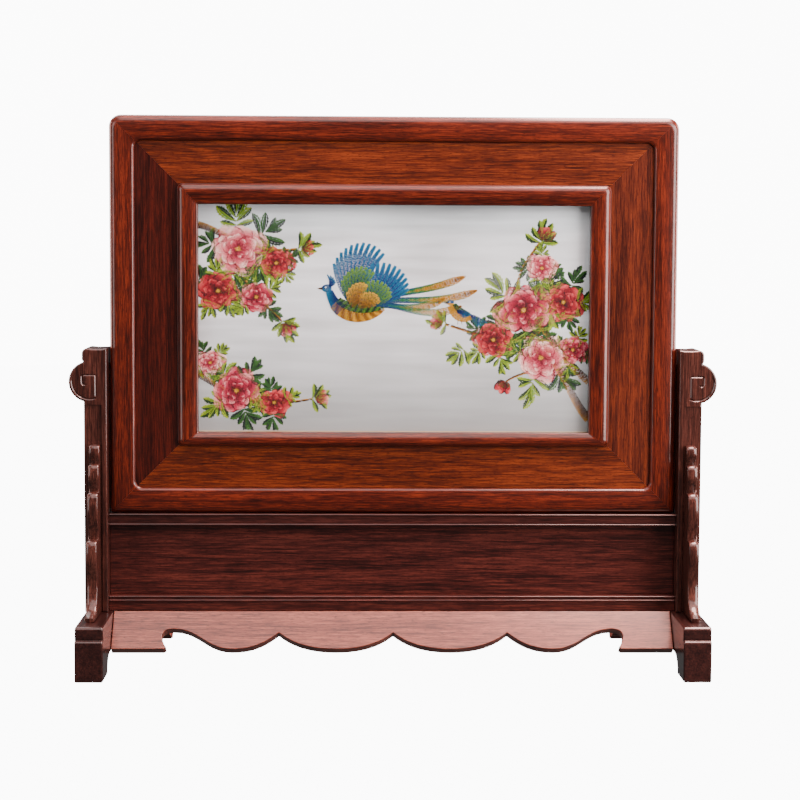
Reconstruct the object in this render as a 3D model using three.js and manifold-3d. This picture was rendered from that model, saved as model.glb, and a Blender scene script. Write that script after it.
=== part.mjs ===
// A Chinese table screen: a framed leaf of two-sided silk embroidery that lifts out of a rosewood stand.
// Millimetres. X runs along the width, -Y is the front, +Z is up, and Z = 0 is the table under the feet.
import * as THREE from 'three';
import { mergeVertices } from 'three/addons/utils/BufferGeometryUtils.js';
import Module from 'manifold-3d';

const wasm = await Module();
wasm.setup();

// Sizes that apply to the whole object
const fitGap = 0.3; // between pieces that touch
const curveSteps = 8; // straight runs in a curved edge

// Leaf: outer frame
const leafWidth = 566;
const leafHeight = 396;
const frameFace = 25;
const frameHalfDepth = 13;
const frameCorner = 12; // radius of the two upper corners
const frameSight = 8; // radius of the frame's inner corners
const frameArris = 6; // round on the outer edge
const frameSightArris = 3.5; // round on the inner edge
const frameCrown = 0.8; // how far the face swells

// Leaf: mitred field boards, in a groove of the outer frame
const fieldFace = 42.3;
const fieldHalfDepth = 8;
const tongueHalf = 4;
const tongueReach = 6;

// Leaf: bead mouldings on both sides, which hold the panes
const beadFace = 20.6;
const beadFoot = 14; // the lower bead shows less
const beadRise = 6.6;
const beadLap = 8; // how far a bead lies on the field boards
const beadCorner = 5;

// Leaf: embroidery pack, from the middle outwards
const silkHalf = 0.25;
const slipThick = 1.2;
const slipFace = 6;
const paneThick = 2;

// Leaf: corner tenons, and tongues that slide in the posts
const cornerTenonFace = 11;
const cornerTenonInset = 6;
const cornerTenonShoulder = 5;
const slideTongueReach = 5;
const slideTongueHalf = 3;
const slideTongueRaise = 3; // above the leaf's lower edge
const slideTongueTop = 150;
const leafLift = 0.3; // rest height above the upper rail

// Stand: posts
const postWidth = 23;
const postHalfDepth = 22;
const postTop = 317.3;
const postPlay = 1.5; // between leaf and post, each side
const postStrip = 5; // inner strip that stays full depth
const postRecess = 1.5;
const postArris = 1.2;
const earFoot = 261.3; // the recess ends here, under the ear
const earRadius = 20.4;
const earCentreHeight = 284.1;
const earCentreInset = 5.5; // from the post's outer face
const earNotch = 0.6; // the neck between scroll and head stands out this far
const earHead = 1.8; // and the head this far
const earShoulder = 5;
const hookWidth = 1.8; // carved groove inside the scroll
const hookDepth = 1.2;
const hookInset = 12; // of its upright, from the post's outer face
const hookOverhang = 1.5; // of its far side, past that face
const hookDrop = 13.6; // its foot, below the scroll's centre
const hookRise = 6.9; // its top, above the scroll's centre
const hookTurn = 9; // how far it comes down again
const slideGrooveDepth = 4.5;

// Stand: feet
const footWidth = 27.5;
const footLength = 190;
const footHeight = 53.3;
const footSlab = 13; // upper slab, set back from the block below
const footSetback = 2.5;
const footRound = 3; // on the block's and the slab's upper corners
const footQuirk = 0.6; // small step under the slab's edge
const footPad = 35;
const archHeight = 17;
const footTenonDepth = 38;

// Stand: rails and waist panel
const railHalfDepth = 14;
const upperRailHeight = 12.4;
const waistHeight = 70.5;
const lowerRailHeight = 15.2;
const railBead = 2.2;
const railBeadRise = 1.4;
const waistHalfDepth = 5;
const waistTongue = 5;
const railTenonReach = 12;
const railTenonHalf = 5;

// Stand: wings in front of and behind each post
const wingThick = 10;
const wingHeight = 169;
const wingToe = 51;
const wingTongue = 3;
const wingTongueThick = 4;

// Stand: sloping aprons
const apronThick = 10;
const apronDrop = 33; // from the lower rail down
const apronSlope = THREE.MathUtils.degToRad(38);
const apronTopDepth = 14; // of the face's upper edge, from the middle
const apronCusp = 18; // rise of the scallops' points, along the board
const apronCuspPlace = 114;
const apronLobePlace = 160;
const apronPeakPlace = 219;
const apronPeak = 22;
const apronHook = 225; // place of the hooked tip beside each end block
const apronThroat = 4.5; // how far the cut runs back above the tip
const apronTenon = 4;

// Places worked out from the sizes
const halfLeaf = leafWidth / 2;
const postInner = halfLeaf + postPlay;
const postOuter = postInner + postWidth;
const footInner = postOuter - footWidth;
const lowerRailFoot = footHeight + fitGap;
const lowerRailTop = lowerRailFoot + lowerRailHeight;
const upperRailFoot = lowerRailTop + waistHeight;
const upperRailTop = upperRailFoot + upperRailHeight;
const leafFoot = upperRailTop + leafLift;
const leafTop = leafFoot + leafHeight;
const fieldSeat = frameFace + fitGap; // inset of the field's visible edge
const beadSeat = frameFace + fieldFace; // inset of the bead's outer edge
const fieldInner = beadSeat + beadLap;
const slipFront = silkHalf + fitGap;
const paneFront = slipFront + slipThick + fitGap;
const beadBack = paneFront + paneThick + fitGap;

// Materials
const rosewood = new THREE.MeshStandardMaterial({ color: 0x5c2414, roughness: 0.32, metalness: 0 });
const darkRosewood = new THREE.MeshStandardMaterial({ color: 0x3d1712, roughness: 0.3, metalness: 0 });
const silk = new THREE.MeshStandardMaterial({ color: 0xc4c6c6, roughness: 0.6, metalness: 0 });
const paleWood = new THREE.MeshStandardMaterial({ color: 0xc9b28c, roughness: 0.7, metalness: 0 });
const paneGlass = new THREE.MeshStandardMaterial({
  color: 0xe8f0ee, roughness: 0.05, metalness: 0, transparent: true, opacity: 0.25,
});

// Helpers that make solids
function solidOf(geometry) {
  const bare = geometry.index ? geometry.toNonIndexed() : geometry.clone();
  bare.deleteAttribute('normal');
  bare.deleteAttribute('uv');
  const merged = mergeVertices(bare, 1e-4);
  return new wasm.Manifold(new wasm.Mesh({
    numProp: 3,
    vertProperties: new Float32Array(merged.attributes.position.array),
    triVerts: new Uint32Array(merged.index.array),
  }));
}

function block(x0, x1, y0, y1, z0, z1) {
  const box = new THREE.BoxGeometry(x1 - x0, y1 - y0, z1 - z0);
  return solidOf(box.translate((x0 + x1) / 2, (y0 + y1) / 2, (z0 + z1) / 2));
}

// A shape drawn in (Y, Z), run along X.
function alongX(shape, x0, x1, bevel = 0) {
  const axes = new THREE.Matrix4().makeBasis(
    new THREE.Vector3(0, 1, 0), new THREE.Vector3(0, 0, 1), new THREE.Vector3(1, 0, 0));
  return solidOf(run(shape, x1 - x0, bevel).applyMatrix4(axes).translate(x0, 0, 0));
}

// A shape drawn in (X, Z), run along Y.
function alongY(shape, y0, y1, bevel = 0) {
  const axes = new THREE.Matrix4().makeBasis(
    new THREE.Vector3(1, 0, 0), new THREE.Vector3(0, 0, 1), new THREE.Vector3(0, -1, 0));
  return solidOf(run(shape, y1 - y0, bevel).applyMatrix4(axes).translate(0, y1, 0));
}

function run(shape, depth, bevel) {
  const geometry = new THREE.ExtrudeGeometry(shape, {
    depth: depth - 2 * bevel, steps: 1, curveSegments: curveSteps,
    bevelEnabled: bevel > 0, bevelThickness: bevel, bevelSize: bevel, bevelOffset: -bevel,
    bevelSegments: 1,
  });
  return geometry.translate(0, 0, bevel);
}

function outline(points) {
  return new THREE.Shape(points.map(([a, b]) => new THREE.Vector2(a, b)));
}

function add(first, ...others) {
  return others.reduce((whole, piece) => whole.add(piece), first);
}

function cut(first, ...others) {
  return others.reduce((whole, piece) => whole.subtract(piece), first);
}

const mirrorX = (solid) => solid.mirror([1, 0, 0]);
const mirrorY = (solid) => solid.mirror([0, 1, 0]);

// Rings: a section carried round a rectangle with round corners
function roundedRectangle({ x0, x1, z0, z1, lower, upper }) {
  const corners = [
    [x1 - lower, z0 + lower, lower, -90],
    [x1 - upper, z1 - upper, upper, 0],
    [x0 + upper, z1 - upper, upper, 90],
    [x0 + lower, z0 + lower, lower, 180],
  ];
  const points = [];
  for (const [cx, cz, radius, start] of corners) {
    for (let i = 0; i <= curveSteps; i += 2) {
      const turn = THREE.MathUtils.degToRad(start + 90 * i / curveSteps);
      points.push([cx + radius * Math.cos(turn), cz + radius * Math.sin(turn)]);
    }
  }
  return points;
}

// Each stop of the section gives a depth y and the rectangle that it follows.
function ring(section) {
  const loops = section.map(({ y, ...rectangle }) =>
    roundedRectangle(rectangle).map(([x, z]) => [x, y, z]));
  const corner = [];
  loops.forEach((loop, i) => {
    const next = loops[(i + 1) % loops.length];
    loop.forEach((point, j) => {
      const k = (j + 1) % loop.length;
      corner.push(point, next[k], next[j], point, loop[k], next[k]);
    });
  });
  const geometry = new THREE.BufferGeometry();
  geometry.setAttribute('position', new THREE.Float32BufferAttribute(corner.flat(), 3));
  return solidOf(geometry);
}

function leafRectangle(sides, foot = sides, top = sides) {
  return { x0: -halfLeaf + sides, x1: halfLeaf - sides, z0: leafFoot + foot, z1: leafTop - top };
}

// The four mitred members of a ring, cut on the lines from its outer to its inner corners.
function members(whole, outer, inner, halfDepth) {
  const reach = 0.4; // the cutting lines run on past both corners, as a share of their length
  const along = (a, b, t) => a + (b - a) * t;
  const shift = fitGap * Math.SQRT2;
  const cutter = (a, b, c, d) => alongY(outline([a, b, c, d]), -halfDepth - 1, halfDepth + 1);
  const end = (side, level, t) => [along(outer[side], inner[side], t), along(outer[level], inner[level], t)];
  const out = -reach;
  const deep = 1 + reach;
  const slide = ([x, z], dx) => [x + dx, z];
  return {
    top: whole.intersect(cutter(slide(end('x0', 'z1', deep), shift), slide(end('x1', 'z1', deep), -shift),
      slide(end('x1', 'z1', out), -shift), slide(end('x0', 'z1', out), shift))),
    bottom: whole.intersect(cutter(slide(end('x0', 'z0', out), shift), slide(end('x1', 'z0', out), -shift),
      slide(end('x1', 'z0', deep), -shift), slide(end('x0', 'z0', deep), shift))),
    left: whole.intersect(cutter(end('x0', 'z0', out), end('x0', 'z0', deep),
      end('x0', 'z1', deep), end('x0', 'z1', out))),
    right: whole.intersect(cutter(end('x1', 'z0', deep), end('x1', 'z0', out),
      end('x1', 'z1', out), end('x1', 'z1', deep))),
  };
}

// Leaf: the outer frame, cut into four mitred members with corner tenons and sliding tongues.
function outerFrame() {
  const h = frameHalfDepth;
  const crownedFace = [
    [0, h - frameArris],
    [frameArris * 0.3, h - frameArris * 0.3],
    [frameArris, h - frameCrown * 0.25],
    [frameFace / 2, h],
    [frameFace - frameSightArris, h - frameCrown],
    [frameFace - frameSightArris * 0.3, h - frameCrown - frameSightArris * 0.3],
    [frameFace, h - frameCrown - frameSightArris],
  ];
  const grooveFloor = frameFace - tongueReach - fitGap;
  const groove = tongueHalf + fitGap / 2;
  const half = [...crownedFace, [frameFace, groove], [grooveFloor, groove]];
  const stops = [
    ...half.map(([inset, y]) => [inset, -y]),
    ...half.slice().reverse(),
  ];
  const whole = ring(stops.map(([inset, y]) => {
    const share = inset / frameFace;
    const inGroove = inset === grooveFloor;
    const upper = inGroove ? 1 : THREE.MathUtils.lerp(frameCorner, frameSight, share);
    const lower = inGroove ? 1 : THREE.MathUtils.lerp(1, frameSight, share);
    return { y, ...leafRectangle(inset), upper, lower };
  }));
  const parts = members(whole, leafRectangle(0), leafRectangle(frameFace), h);

  const tenon = (z, grow) => {
    const x0 = halfLeaf - frameFace - tongueReach;
    const x1 = halfLeaf - cornerTenonShoulder + grow;
    return block(x0, x1, -tongueHalf - grow, tongueHalf + grow, z - grow, z + cornerTenonFace + grow);
  };
  const topTenon = leafTop - cornerTenonInset - cornerTenonFace;
  const footTenon = leafFoot + cornerTenonInset;
  const tongue = block(halfLeaf - 1, halfLeaf + slideTongueReach, -slideTongueHalf, slideTongueHalf,
    leafFoot + slideTongueRaise, leafFoot + slideTongueTop);
  const right = cut(add(parts.right, tongue), tenon(topTenon, fitGap), tenon(footTenon, fitGap));
  return {
    top: add(parts.top, tenon(topTenon, 0), mirrorX(tenon(topTenon, 0))),
    bottom: add(parts.bottom, tenon(footTenon, 0), mirrorX(tenon(footTenon, 0))),
    left: mirrorX(right),
    right,
  };
}

// Leaf: the four field boards, with a tongue all round.
function fieldBoards() {
  const seatCorner = frameSight - fitGap;
  const half = [
    [frameFace - tongueReach, tongueHalf, 1],
    [fieldSeat, tongueHalf, seatCorner],
    [fieldSeat, fieldHalfDepth, seatCorner],
    [fieldInner, fieldHalfDepth, 1],
  ];
  const stops = [...half.map(([inset, y, r]) => [inset, -y, r]), ...half.slice().reverse()];
  const whole = ring(stops.map(([inset, y, r]) => ({ y, ...leafRectangle(inset), upper: r, lower: r })));
  return members(whole, leafRectangle(frameFace), leafRectangle(fieldInner), fieldHalfDepth);
}

// Leaf: the front bead mouldings. Their mirror images go at the back.
function beads() {
  const face = fieldHalfDepth + fitGap;
  const crest = face + beadRise;
  const sight = beadBack + 3.5;
  const half = [
    [0, face],
    [0, face + beadRise * 0.4],
    [0.06, crest - beadRise * 0.18],
    [0.17, crest],
    [0.38, crest - beadRise * 0.06],
    [0.72, (crest + sight) / 2 + 0.8],
    [1, sight],
    [1, beadBack],
  ];
  const lapSides = (beadLap + fitGap) / beadFace;
  const lapFoot = (beadLap + fitGap) / beadFoot;
  const rectangleAt = (share, footShare = share) => leafRectangle(
    beadSeat + share * beadFace, beadSeat + footShare * beadFoot, beadSeat + share * beadFace);
  const stops = half.map(([share, y]) => {
    const corner = beadCorner * (1 - share) + 0.5;
    return { y: -y, ...rectangleAt(share), upper: corner, lower: corner };
  });
  for (const y of [beadBack, face]) {
    stops.push({ y: -y, ...rectangleAt(lapSides, lapFoot), upper: 0.5, lower: 0.5 });
  }
  const whole = ring(stops);
  return members(whole, rectangleAt(0), rectangleAt(1), crest);
}

// Leaf: the silk, the slips in front of its margin and the front pane.
function pack() {
  const margin = fieldInner + fitGap;
  const pocket = leafRectangle(margin);
  const window = leafRectangle(margin + slipFace);
  const sheet = (y0, y1) => block(pocket.x0, pocket.x1, y0, y1, pocket.z0, pocket.z1);
  const slipRing = ring([
    [0, -slipFront - slipThick], [slipFace, -slipFront - slipThick], [slipFace, -slipFront], [0, -slipFront],
  ].map(([inset, y]) => ({ y, ...leafRectangle(margin + inset), upper: 0.5, lower: 0.5 })));
  return {
    silk: sheet(-silkHalf, silkHalf),
    slips: members(slipRing, pocket, window, paneFront),
    pane: sheet(-paneFront - paneThick, -paneFront),
  };
}

// Stand: the right post with its scrolled ear.
function postOutline() {
  const shape = new THREE.Shape();
  const scrollCentre = postOuter - earCentreInset;
  const lowest = Math.acos(earCentreInset / earRadius);
  const highest = Math.acos((earCentreInset + earNotch) / earRadius);
  const head = postOuter + earHead;
  shape.moveTo(postInner, footHeight + fitGap);
  shape.lineTo(postOuter, footHeight + fitGap);
  shape.absarc(scrollCentre, earCentreHeight, earRadius, -lowest, highest, false);
  shape.lineTo(head, earCentreHeight + earRadius);
  shape.absarc(head - earShoulder, postTop - earShoulder, earShoulder, 0, Math.PI / 2, false);
  shape.lineTo(postInner, postTop);
  return shape;
}

// The carved hook of the scroll, as thin bars that are cut into both faces.
function hookBars() {
  const left = postOuter - hookInset;
  const right = postOuter + hookOverhang;
  const foot = earCentreHeight - hookDrop;
  const top = earCentreHeight + hookRise;
  const bars = [
    [left, foot, left, top],
    [left, top, right, top],
    [right, top, right, top - hookTurn],
    [right, top - hookTurn, right - 4, top - hookTurn + 1],
  ];
  return bars.map(([x0, z0, x1, z1]) => {
    const length = Math.hypot(x1 - x0, z1 - z0) + hookWidth;
    const bar = new THREE.BoxGeometry(length, 2 * postHalfDepth, hookWidth);
    const turn = -Math.atan2(z1 - z0, x1 - x0);
    return solidOf(bar.rotateY(turn).translate((x0 + x1) / 2, 0, (z0 + z1) / 2));
  });
}

function rightPost() {
  const outerPart = [postInner + postStrip, postOuter + 1];
  const front = -postHalfDepth;
  const recess = block(...outerPart, front - 1, front + postRecess, 0, earFoot);
  const grooveHalf = slideTongueHalf + fitGap;
  const groove = block(postInner - 1, postInner + slideGrooveDepth, -grooveHalf, grooveHalf,
    lowerRailTop - waistTongue, postTop + 1);
  const mortise = (z0, z1) => block(postInner - 1, postInner + railTenonReach + fitGap,
    -railTenonHalf - fitGap, railTenonHalf + fitGap, z0 - fitGap, z1 + fitGap);
  const wingGroove = block(...wingTongueSpan(fitGap), front - 1, front + postRecess + wingTongue + fitGap,
    footHeight - 1, footHeight + wingHeight * 0.6 + fitGap);
  const core = block(postInner, postOuter + earRadius, front + hookDepth, -front - hookDepth,
    earFoot - earRadius, postTop);
  const hookCuts = hookBars().map((bar) => cut(bar, core));
  const body = alongY(postOutline(), front, -front, postArris);
  const tenon = postTenon(0);
  return cut(add(body, tenon), recess, mirrorY(recess), groove,
    mortise(...upperTenonSpan), mortise(...lowerTenonSpan), wingGroove, mirrorY(wingGroove), ...hookCuts);
}

function wingTongueSpan(grow) {
  const middle = (postInner + postOuter) / 2;
  return [middle - wingTongueThick / 2 - grow, middle + wingTongueThick / 2 + grow];
}

function postTenon(grow) {
  const middle = (postInner + postOuter) / 2;
  const half = postWidth / 4;
  const depth = postHalfDepth * 0.6;
  return block(middle - half - grow, middle + half + grow, -depth - grow, depth + grow,
    footHeight - footTenonDepth - grow, footHeight + 2);
}

const upperTenonSpan = [upperRailFoot + 2, upperRailTop - 2];
const lowerTenonSpan = [lowerRailFoot + 3, lowerRailTop - 4];

// Stand: the right foot.
function footOutline() {
  const shape = new THREE.Shape();
  const end = footLength / 2;
  const archEnd = end - footPad;
  const ledge = footHeight - footSlab;
  const slabEnd = end - footSetback;
  shape.moveTo(archEnd, 0);
  shape.lineTo(end, 0);
  shape.lineTo(end, ledge - footRound);
  shape.absarc(end - footRound, ledge - footRound, footRound, 0, Math.PI / 2, false);
  shape.lineTo(slabEnd - footQuirk, ledge);
  shape.lineTo(slabEnd - footQuirk, ledge + 1.5);
  shape.lineTo(slabEnd, ledge + 2.5);
  shape.absarc(slabEnd - footRound, footHeight - footRound, footRound, 0, Math.PI / 2, false);
  const half = shape.getPoints(4);
  const arch = new THREE.Path();
  arch.absarc(archEnd - archHeight, 0, archHeight, 0, Math.PI / 2, false);
  const archPoints = arch.getPoints(curveSteps / 2).reverse();
  const near = [...archPoints.slice(0, -1), ...half];
  const far = near.map((p) => new THREE.Vector2(-p.x, p.y)).reverse();
  return new THREE.Shape([...near, ...far]);
}

function rightFoot(apronEnds) {
  const wingSocket = block(...wingTongueSpan(fitGap), -postHalfDepth - wingToe * 0.6 - fitGap,
    -postHalfDepth + postRecess, footHeight - wingTongue - fitGap, footHeight + 1);
  const body = alongX(footOutline(), footInner, postOuter, 0.8);
  return cut(body, postTenon(fitGap), wingSocket, mirrorY(wingSocket), ...apronEnds);
}

// Stand: the front right wing, seen from the side and drawn from the post forward.
function wingOutline() {
  const shape = new THREE.Shape();
  shape.moveTo(0, 0);
  shape.lineTo(wingToe, 0);
  shape.lineTo(wingToe, 4);
  shape.quadraticCurveTo(wingToe * 0.6, wingHeight * 0.06, wingToe * 0.57, wingHeight * 0.21);
  // Each lobe bulges forward, tucks in at its foot and ends in a ledge at its head: foot reach, belly
  // reach, head reach, all as shares of the toe, and head height as a share of the wing's height.
  const lobes = [
    [0.57, 0.7, 0.6, 0.455, 0.21],
    [0.4, 0.52, 0.44, 0.728, 0.455],
    [0.26, 0.36, 0.3, 0.888, 0.728],
    [0.16, 0.24, 0.2, 1, 0.888],
  ];
  for (const [foot, belly, head, high, low] of lobes) {
    const z0 = low * wingHeight;
    const z1 = high * wingHeight;
    shape.lineTo(foot * wingToe, z0);
    shape.bezierCurveTo(foot * wingToe, z0 + (z1 - z0) * 0.35, belly * wingToe, z0 + (z1 - z0) * 0.45,
      belly * wingToe, z0 + (z1 - z0) * 0.72);
    shape.quadraticCurveTo(belly * wingToe, z1 - 1, head * wingToe, z1);
  }
  shape.lineTo(0, wingHeight);
  return shape;
}

function frontRightWing() {
  const middle = (postInner + postOuter) / 2;
  const back = -postHalfDepth + postRecess - fitGap;
  const foot = footHeight + fitGap;
  const points = wingOutline().getPoints(4).map((p) => new THREE.Vector2(back - p.x, p.y + foot));
  const body = alongX(new THREE.Shape(points.reverse()), middle - wingThick / 2, middle + wingThick / 2, 0.8);
  const backTongue = block(...wingTongueSpan(0), back - 2, back + wingTongue,
    foot, footHeight + wingHeight * 0.6);
  const footTongue = block(...wingTongueSpan(0), -postHalfDepth - wingToe * 0.6, back - 1,
    footHeight - wingTongue, footHeight + 2);
  return add(body, backTongue, footTongue);
}

// Stand: rails and waist panel.
// A rail's section, front half: flat faces with a raised bead at each given height.
function railSection(foot, top, beadHeights) {
  const face = -railHalfDepth;
  const front = [[face, foot]];
  for (const z of beadHeights) {
    front.push([face, z], [face - railBeadRise * 0.8, z + railBead * 0.15]);
    front.push([face - railBeadRise, z + railBead / 2]);
    front.push([face - railBeadRise * 0.8, z + railBead * 0.85], [face, z + railBead]);
  }
  front.push([face, top]);
  const unique = front.filter(([y, z], i) => !i || y !== front[i - 1][0] || z !== front[i - 1][1]);
  return [...unique.map(([y, z]) => [-y, z]), ...unique.slice().reverse()];
}

function rail(foot, top, beadHeights, tenonSpan, grooves) {
  const body = alongX(outline(railSection(foot, top, beadHeights)), -postInner + fitGap, postInner - fitGap);
  const end = postInner + railTenonReach;
  const tenon = block(-end, end, -railTenonHalf, railTenonHalf, ...tenonSpan);
  return cut(add(body, tenon), ...grooves);
}

function waistGroove(z0, z1) {
  const half = slideTongueHalf + fitGap;
  return block(-postOuter, postOuter, -half, half, z0, z1);
}

function upperRail() {
  const beadsAt = [upperRailFoot, upperRailTop - railBead];
  const tenonWithGroove = waistGroove(upperRailFoot - 1, upperRailFoot + waistTongue + fitGap);
  return rail(upperRailFoot, upperRailTop, beadsAt, upperTenonSpan, [tenonWithGroove]);
}

function lowerRail() {
  const beadsAt = [lowerRailTop - 2.7 * railBead, lowerRailTop - railBead];
  const groove = waistGroove(lowerRailTop - waistTongue - fitGap, lowerRailTop + 1);
  return rail(lowerRailFoot, lowerRailTop, beadsAt, lowerTenonSpan, [groove]);
}

function waistPanel() {
  const face = block(-postInner + fitGap, postInner - fitGap, -waistHalfDepth, waistHalfDepth,
    lowerRailTop + fitGap, upperRailFoot - fitGap);
  const reach = postInner + slideGrooveDepth - fitGap;
  const tongue = block(-reach, reach, -slideTongueHalf, slideTongueHalf,
    lowerRailTop - waistTongue + fitGap, upperRailFoot + waistTongue - fitGap);
  return add(face, tongue);
}

// Stand: the front apron, drawn flat with its upper edge at zero.
function apronOutline(reach) {
  const foot = -apronDrop / Math.cos(apronSlope);
  const point = foot + apronCusp;
  const peak = foot + apronPeak;
  const edge = new THREE.Path();
  edge.moveTo(0, point);
  edge.bezierCurveTo(apronCuspPlace * 0.12, foot + apronCusp * 0.35, apronCuspPlace * 0.28, foot,
    apronCuspPlace * 0.5, foot);
  edge.bezierCurveTo(apronCuspPlace * 0.72, foot, apronCuspPlace * 0.88, foot + apronCusp * 0.35,
    apronCuspPlace, point);
  edge.bezierCurveTo(apronCuspPlace + 14, foot + apronCusp * 0.35, apronLobePlace - 20, foot,
    apronLobePlace, foot);
  edge.bezierCurveTo(apronLobePlace + 26, foot, apronPeakPlace - 26, peak, apronPeakPlace, peak);
  edge.bezierCurveTo(apronHook + 2, peak, apronHook + apronThroat + 2, peak - 4,
    apronHook + apronThroat, foot + apronPeak * 0.55);
  edge.quadraticCurveTo(apronHook + apronThroat - 1, foot + 5, apronHook, foot + 2);
  edge.lineTo(apronHook + 2.5, foot);
  const half = [...edge.getPoints(curveSteps), new THREE.Vector2(reach, foot), new THREE.Vector2(reach, 0)];
  const mirrored = half.slice(1).reverse().map((p) => new THREE.Vector2(-p.x, p.y));
  return new THREE.Shape([...mirrored, ...half]);
}

// Stands the flat board on its slope, under the lower rail.
function tilt(solid) {
  const degrees = -THREE.MathUtils.radToDeg(apronSlope);
  return solid.rotate([degrees, 0, 0]).translate([0, -apronTopDepth, lowerRailFoot - fitGap]);
}

function frontApron() {
  const board = tilt(alongY(apronOutline(footInner - fitGap), 0, apronThick, 0.9));
  const underRail = block(-postOuter, postOuter, -footLength, footLength,
    lowerRailFoot - fitGap, upperRailTop);
  return add(cut(board, underRail), apronEnd(0), mirrorX(apronEnd(0)));
}

function apronEnd(grow) {
  const drop = apronDrop / Math.cos(apronSlope);
  return tilt(block(footInner - 2, footInner + apronTenon + grow, 2.5 - grow, apronThick - 2.5 + grow,
    -drop * 0.8 - grow, -drop * 0.3 + grow));
}

// Assembly
const screen = new THREE.Group();

function place(name, solid, material) {
  const { vertProperties, triVerts, numProp } = solid.getMesh();
  const positions = new Float32Array(triVerts.length * 3);
  triVerts.forEach((vertex, i) => {
    positions.set(vertProperties.subarray(vertex * numProp, vertex * numProp + 3), i * 3);
  });
  const geometry = new THREE.BufferGeometry();
  geometry.setAttribute('position', new THREE.BufferAttribute(positions, 3));
  geometry.computeVertexNormals();
  const mesh = new THREE.Mesh(geometry, material);
  mesh.name = name;
  screen.add(mesh);
}

const frame = outerFrame();
place('leaf_top_rail', frame.top, rosewood);
place('leaf_bottom_rail', frame.bottom, rosewood);
place('leaf_left_stile', frame.left, rosewood);
place('leaf_right_stile', frame.right, rosewood);

for (const [side, solid] of Object.entries(fieldBoards())) {
  place(`field_board_${side}`, solid, rosewood);
}
for (const [side, solid] of Object.entries(beads())) {
  place(`front_bead_${side}`, solid, rosewood);
  place(`rear_bead_${side}`, mirrorY(solid), rosewood);
}

const embroidery = pack();
place('embroidered_silk', embroidery.silk, silk);
for (const [side, solid] of Object.entries(embroidery.slips)) {
  place(`front_slip_${side}`, solid, paleWood);
  place(`rear_slip_${side}`, mirrorY(solid), paleWood);
}
place('front_pane', embroidery.pane, paneGlass);
place('rear_pane', mirrorY(embroidery.pane), paneGlass);

const post = rightPost();
place('right_post', post, darkRosewood);
place('left_post', mirrorX(post), darkRosewood);

const apronSockets = [apronEnd(fitGap), mirrorY(apronEnd(fitGap))];
const foot = rightFoot(apronSockets);
place('right_foot', foot, darkRosewood);
place('left_foot', mirrorX(foot), darkRosewood);

const wing = frontRightWing();
place('front_right_wing', wing, darkRosewood);
place('front_left_wing', mirrorX(wing), darkRosewood);
place('rear_right_wing', mirrorY(wing), darkRosewood);
place('rear_left_wing', mirrorX(mirrorY(wing)), darkRosewood);

place('upper_rail', upperRail(), darkRosewood);
place('lower_rail', lowerRail(), darkRosewood);
place('waist_panel', waistPanel(), darkRosewood);

const apron = frontApron();
place('front_apron', apron, darkRosewood);
place('rear_apron', mirrorY(apron), darkRosewood);

export default screen;
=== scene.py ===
# %% [markdown]
# # A table screen in rosewood and silk
# The object is a Chinese table screen. A rectangular leaf frames a two-sided silk embroidery between
# panes of glass, and it stands in a low stand of two posts, two feet, rails and sloping aprons.
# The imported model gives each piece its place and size. This lesson dresses it: fine mouldings,
# polished wood, sheer silk and some thousands of stitches.

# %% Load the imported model
import math
import random

import bmesh
import bpy
from mathutils import Matrix, Vector


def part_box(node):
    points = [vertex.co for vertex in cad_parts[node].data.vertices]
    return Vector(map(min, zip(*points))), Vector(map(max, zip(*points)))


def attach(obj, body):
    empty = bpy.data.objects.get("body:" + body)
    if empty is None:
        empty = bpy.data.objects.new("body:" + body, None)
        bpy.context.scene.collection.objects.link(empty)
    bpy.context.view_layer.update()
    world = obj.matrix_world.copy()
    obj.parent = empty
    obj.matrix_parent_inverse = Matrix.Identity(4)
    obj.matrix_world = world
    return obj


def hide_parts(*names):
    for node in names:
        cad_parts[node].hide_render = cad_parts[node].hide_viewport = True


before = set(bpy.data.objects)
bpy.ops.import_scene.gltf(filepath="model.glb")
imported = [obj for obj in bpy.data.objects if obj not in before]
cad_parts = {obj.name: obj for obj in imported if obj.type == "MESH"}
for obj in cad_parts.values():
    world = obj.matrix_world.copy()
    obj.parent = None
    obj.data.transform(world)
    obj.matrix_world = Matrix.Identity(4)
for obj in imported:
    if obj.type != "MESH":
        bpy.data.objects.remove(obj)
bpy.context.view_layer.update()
MM = 0.001

# %% [markdown]
# ## Camera
# The photograph was taken from about 1.8 m away with a long lens, from a little left of the middle,
# looking slightly down. The values come from fitting a pinhole camera to the corners of the frame,
# the rails and the feet. The frame is 800 pixels square, and the lens axis meets it above its middle,
# which the camera's vertical shift repeats.

# %% Place the camera
PHOTO_SIZE = 800
FOCAL_PIXELS = 1834
AXIS_ROW = 361.9
SENSOR_WIDTH = 36
CAMERA_PLACE = Vector((-37.4, -1837, 434.2)) * MM
CAMERA_YAW = math.radians(-1.36)
CAMERA_PITCH = math.radians(4.07)
CAMERA_ROLL = math.radians(0.30)


def add_object(name, data):
    """Puts a new object with this data into the scene."""
    thing = bpy.data.objects.new(name, data)
    bpy.context.collection.objects.link(thing)
    return thing


def make_camera():
    data = bpy.data.cameras.new("photo_camera")
    data.sensor_fit = "HORIZONTAL"
    data.sensor_width = SENSOR_WIDTH
    data.lens = FOCAL_PIXELS / PHOTO_SIZE * SENSOR_WIDTH
    data.shift_y = (AXIS_ROW - PHOTO_SIZE / 2) / PHOTO_SIZE
    data.clip_start = 0.05
    camera = add_object("photo_camera", data)
    aim = Matrix.Rotation(CAMERA_YAW, 4, "Z") @ Matrix.Rotation(math.pi / 2 - CAMERA_PITCH, 4, "X")
    camera.matrix_world = Matrix.Translation(CAMERA_PLACE) @ aim @ Matrix.Rotation(CAMERA_ROLL, 4, "Z")
    bpy.context.scene.camera = camera
    return camera


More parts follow.
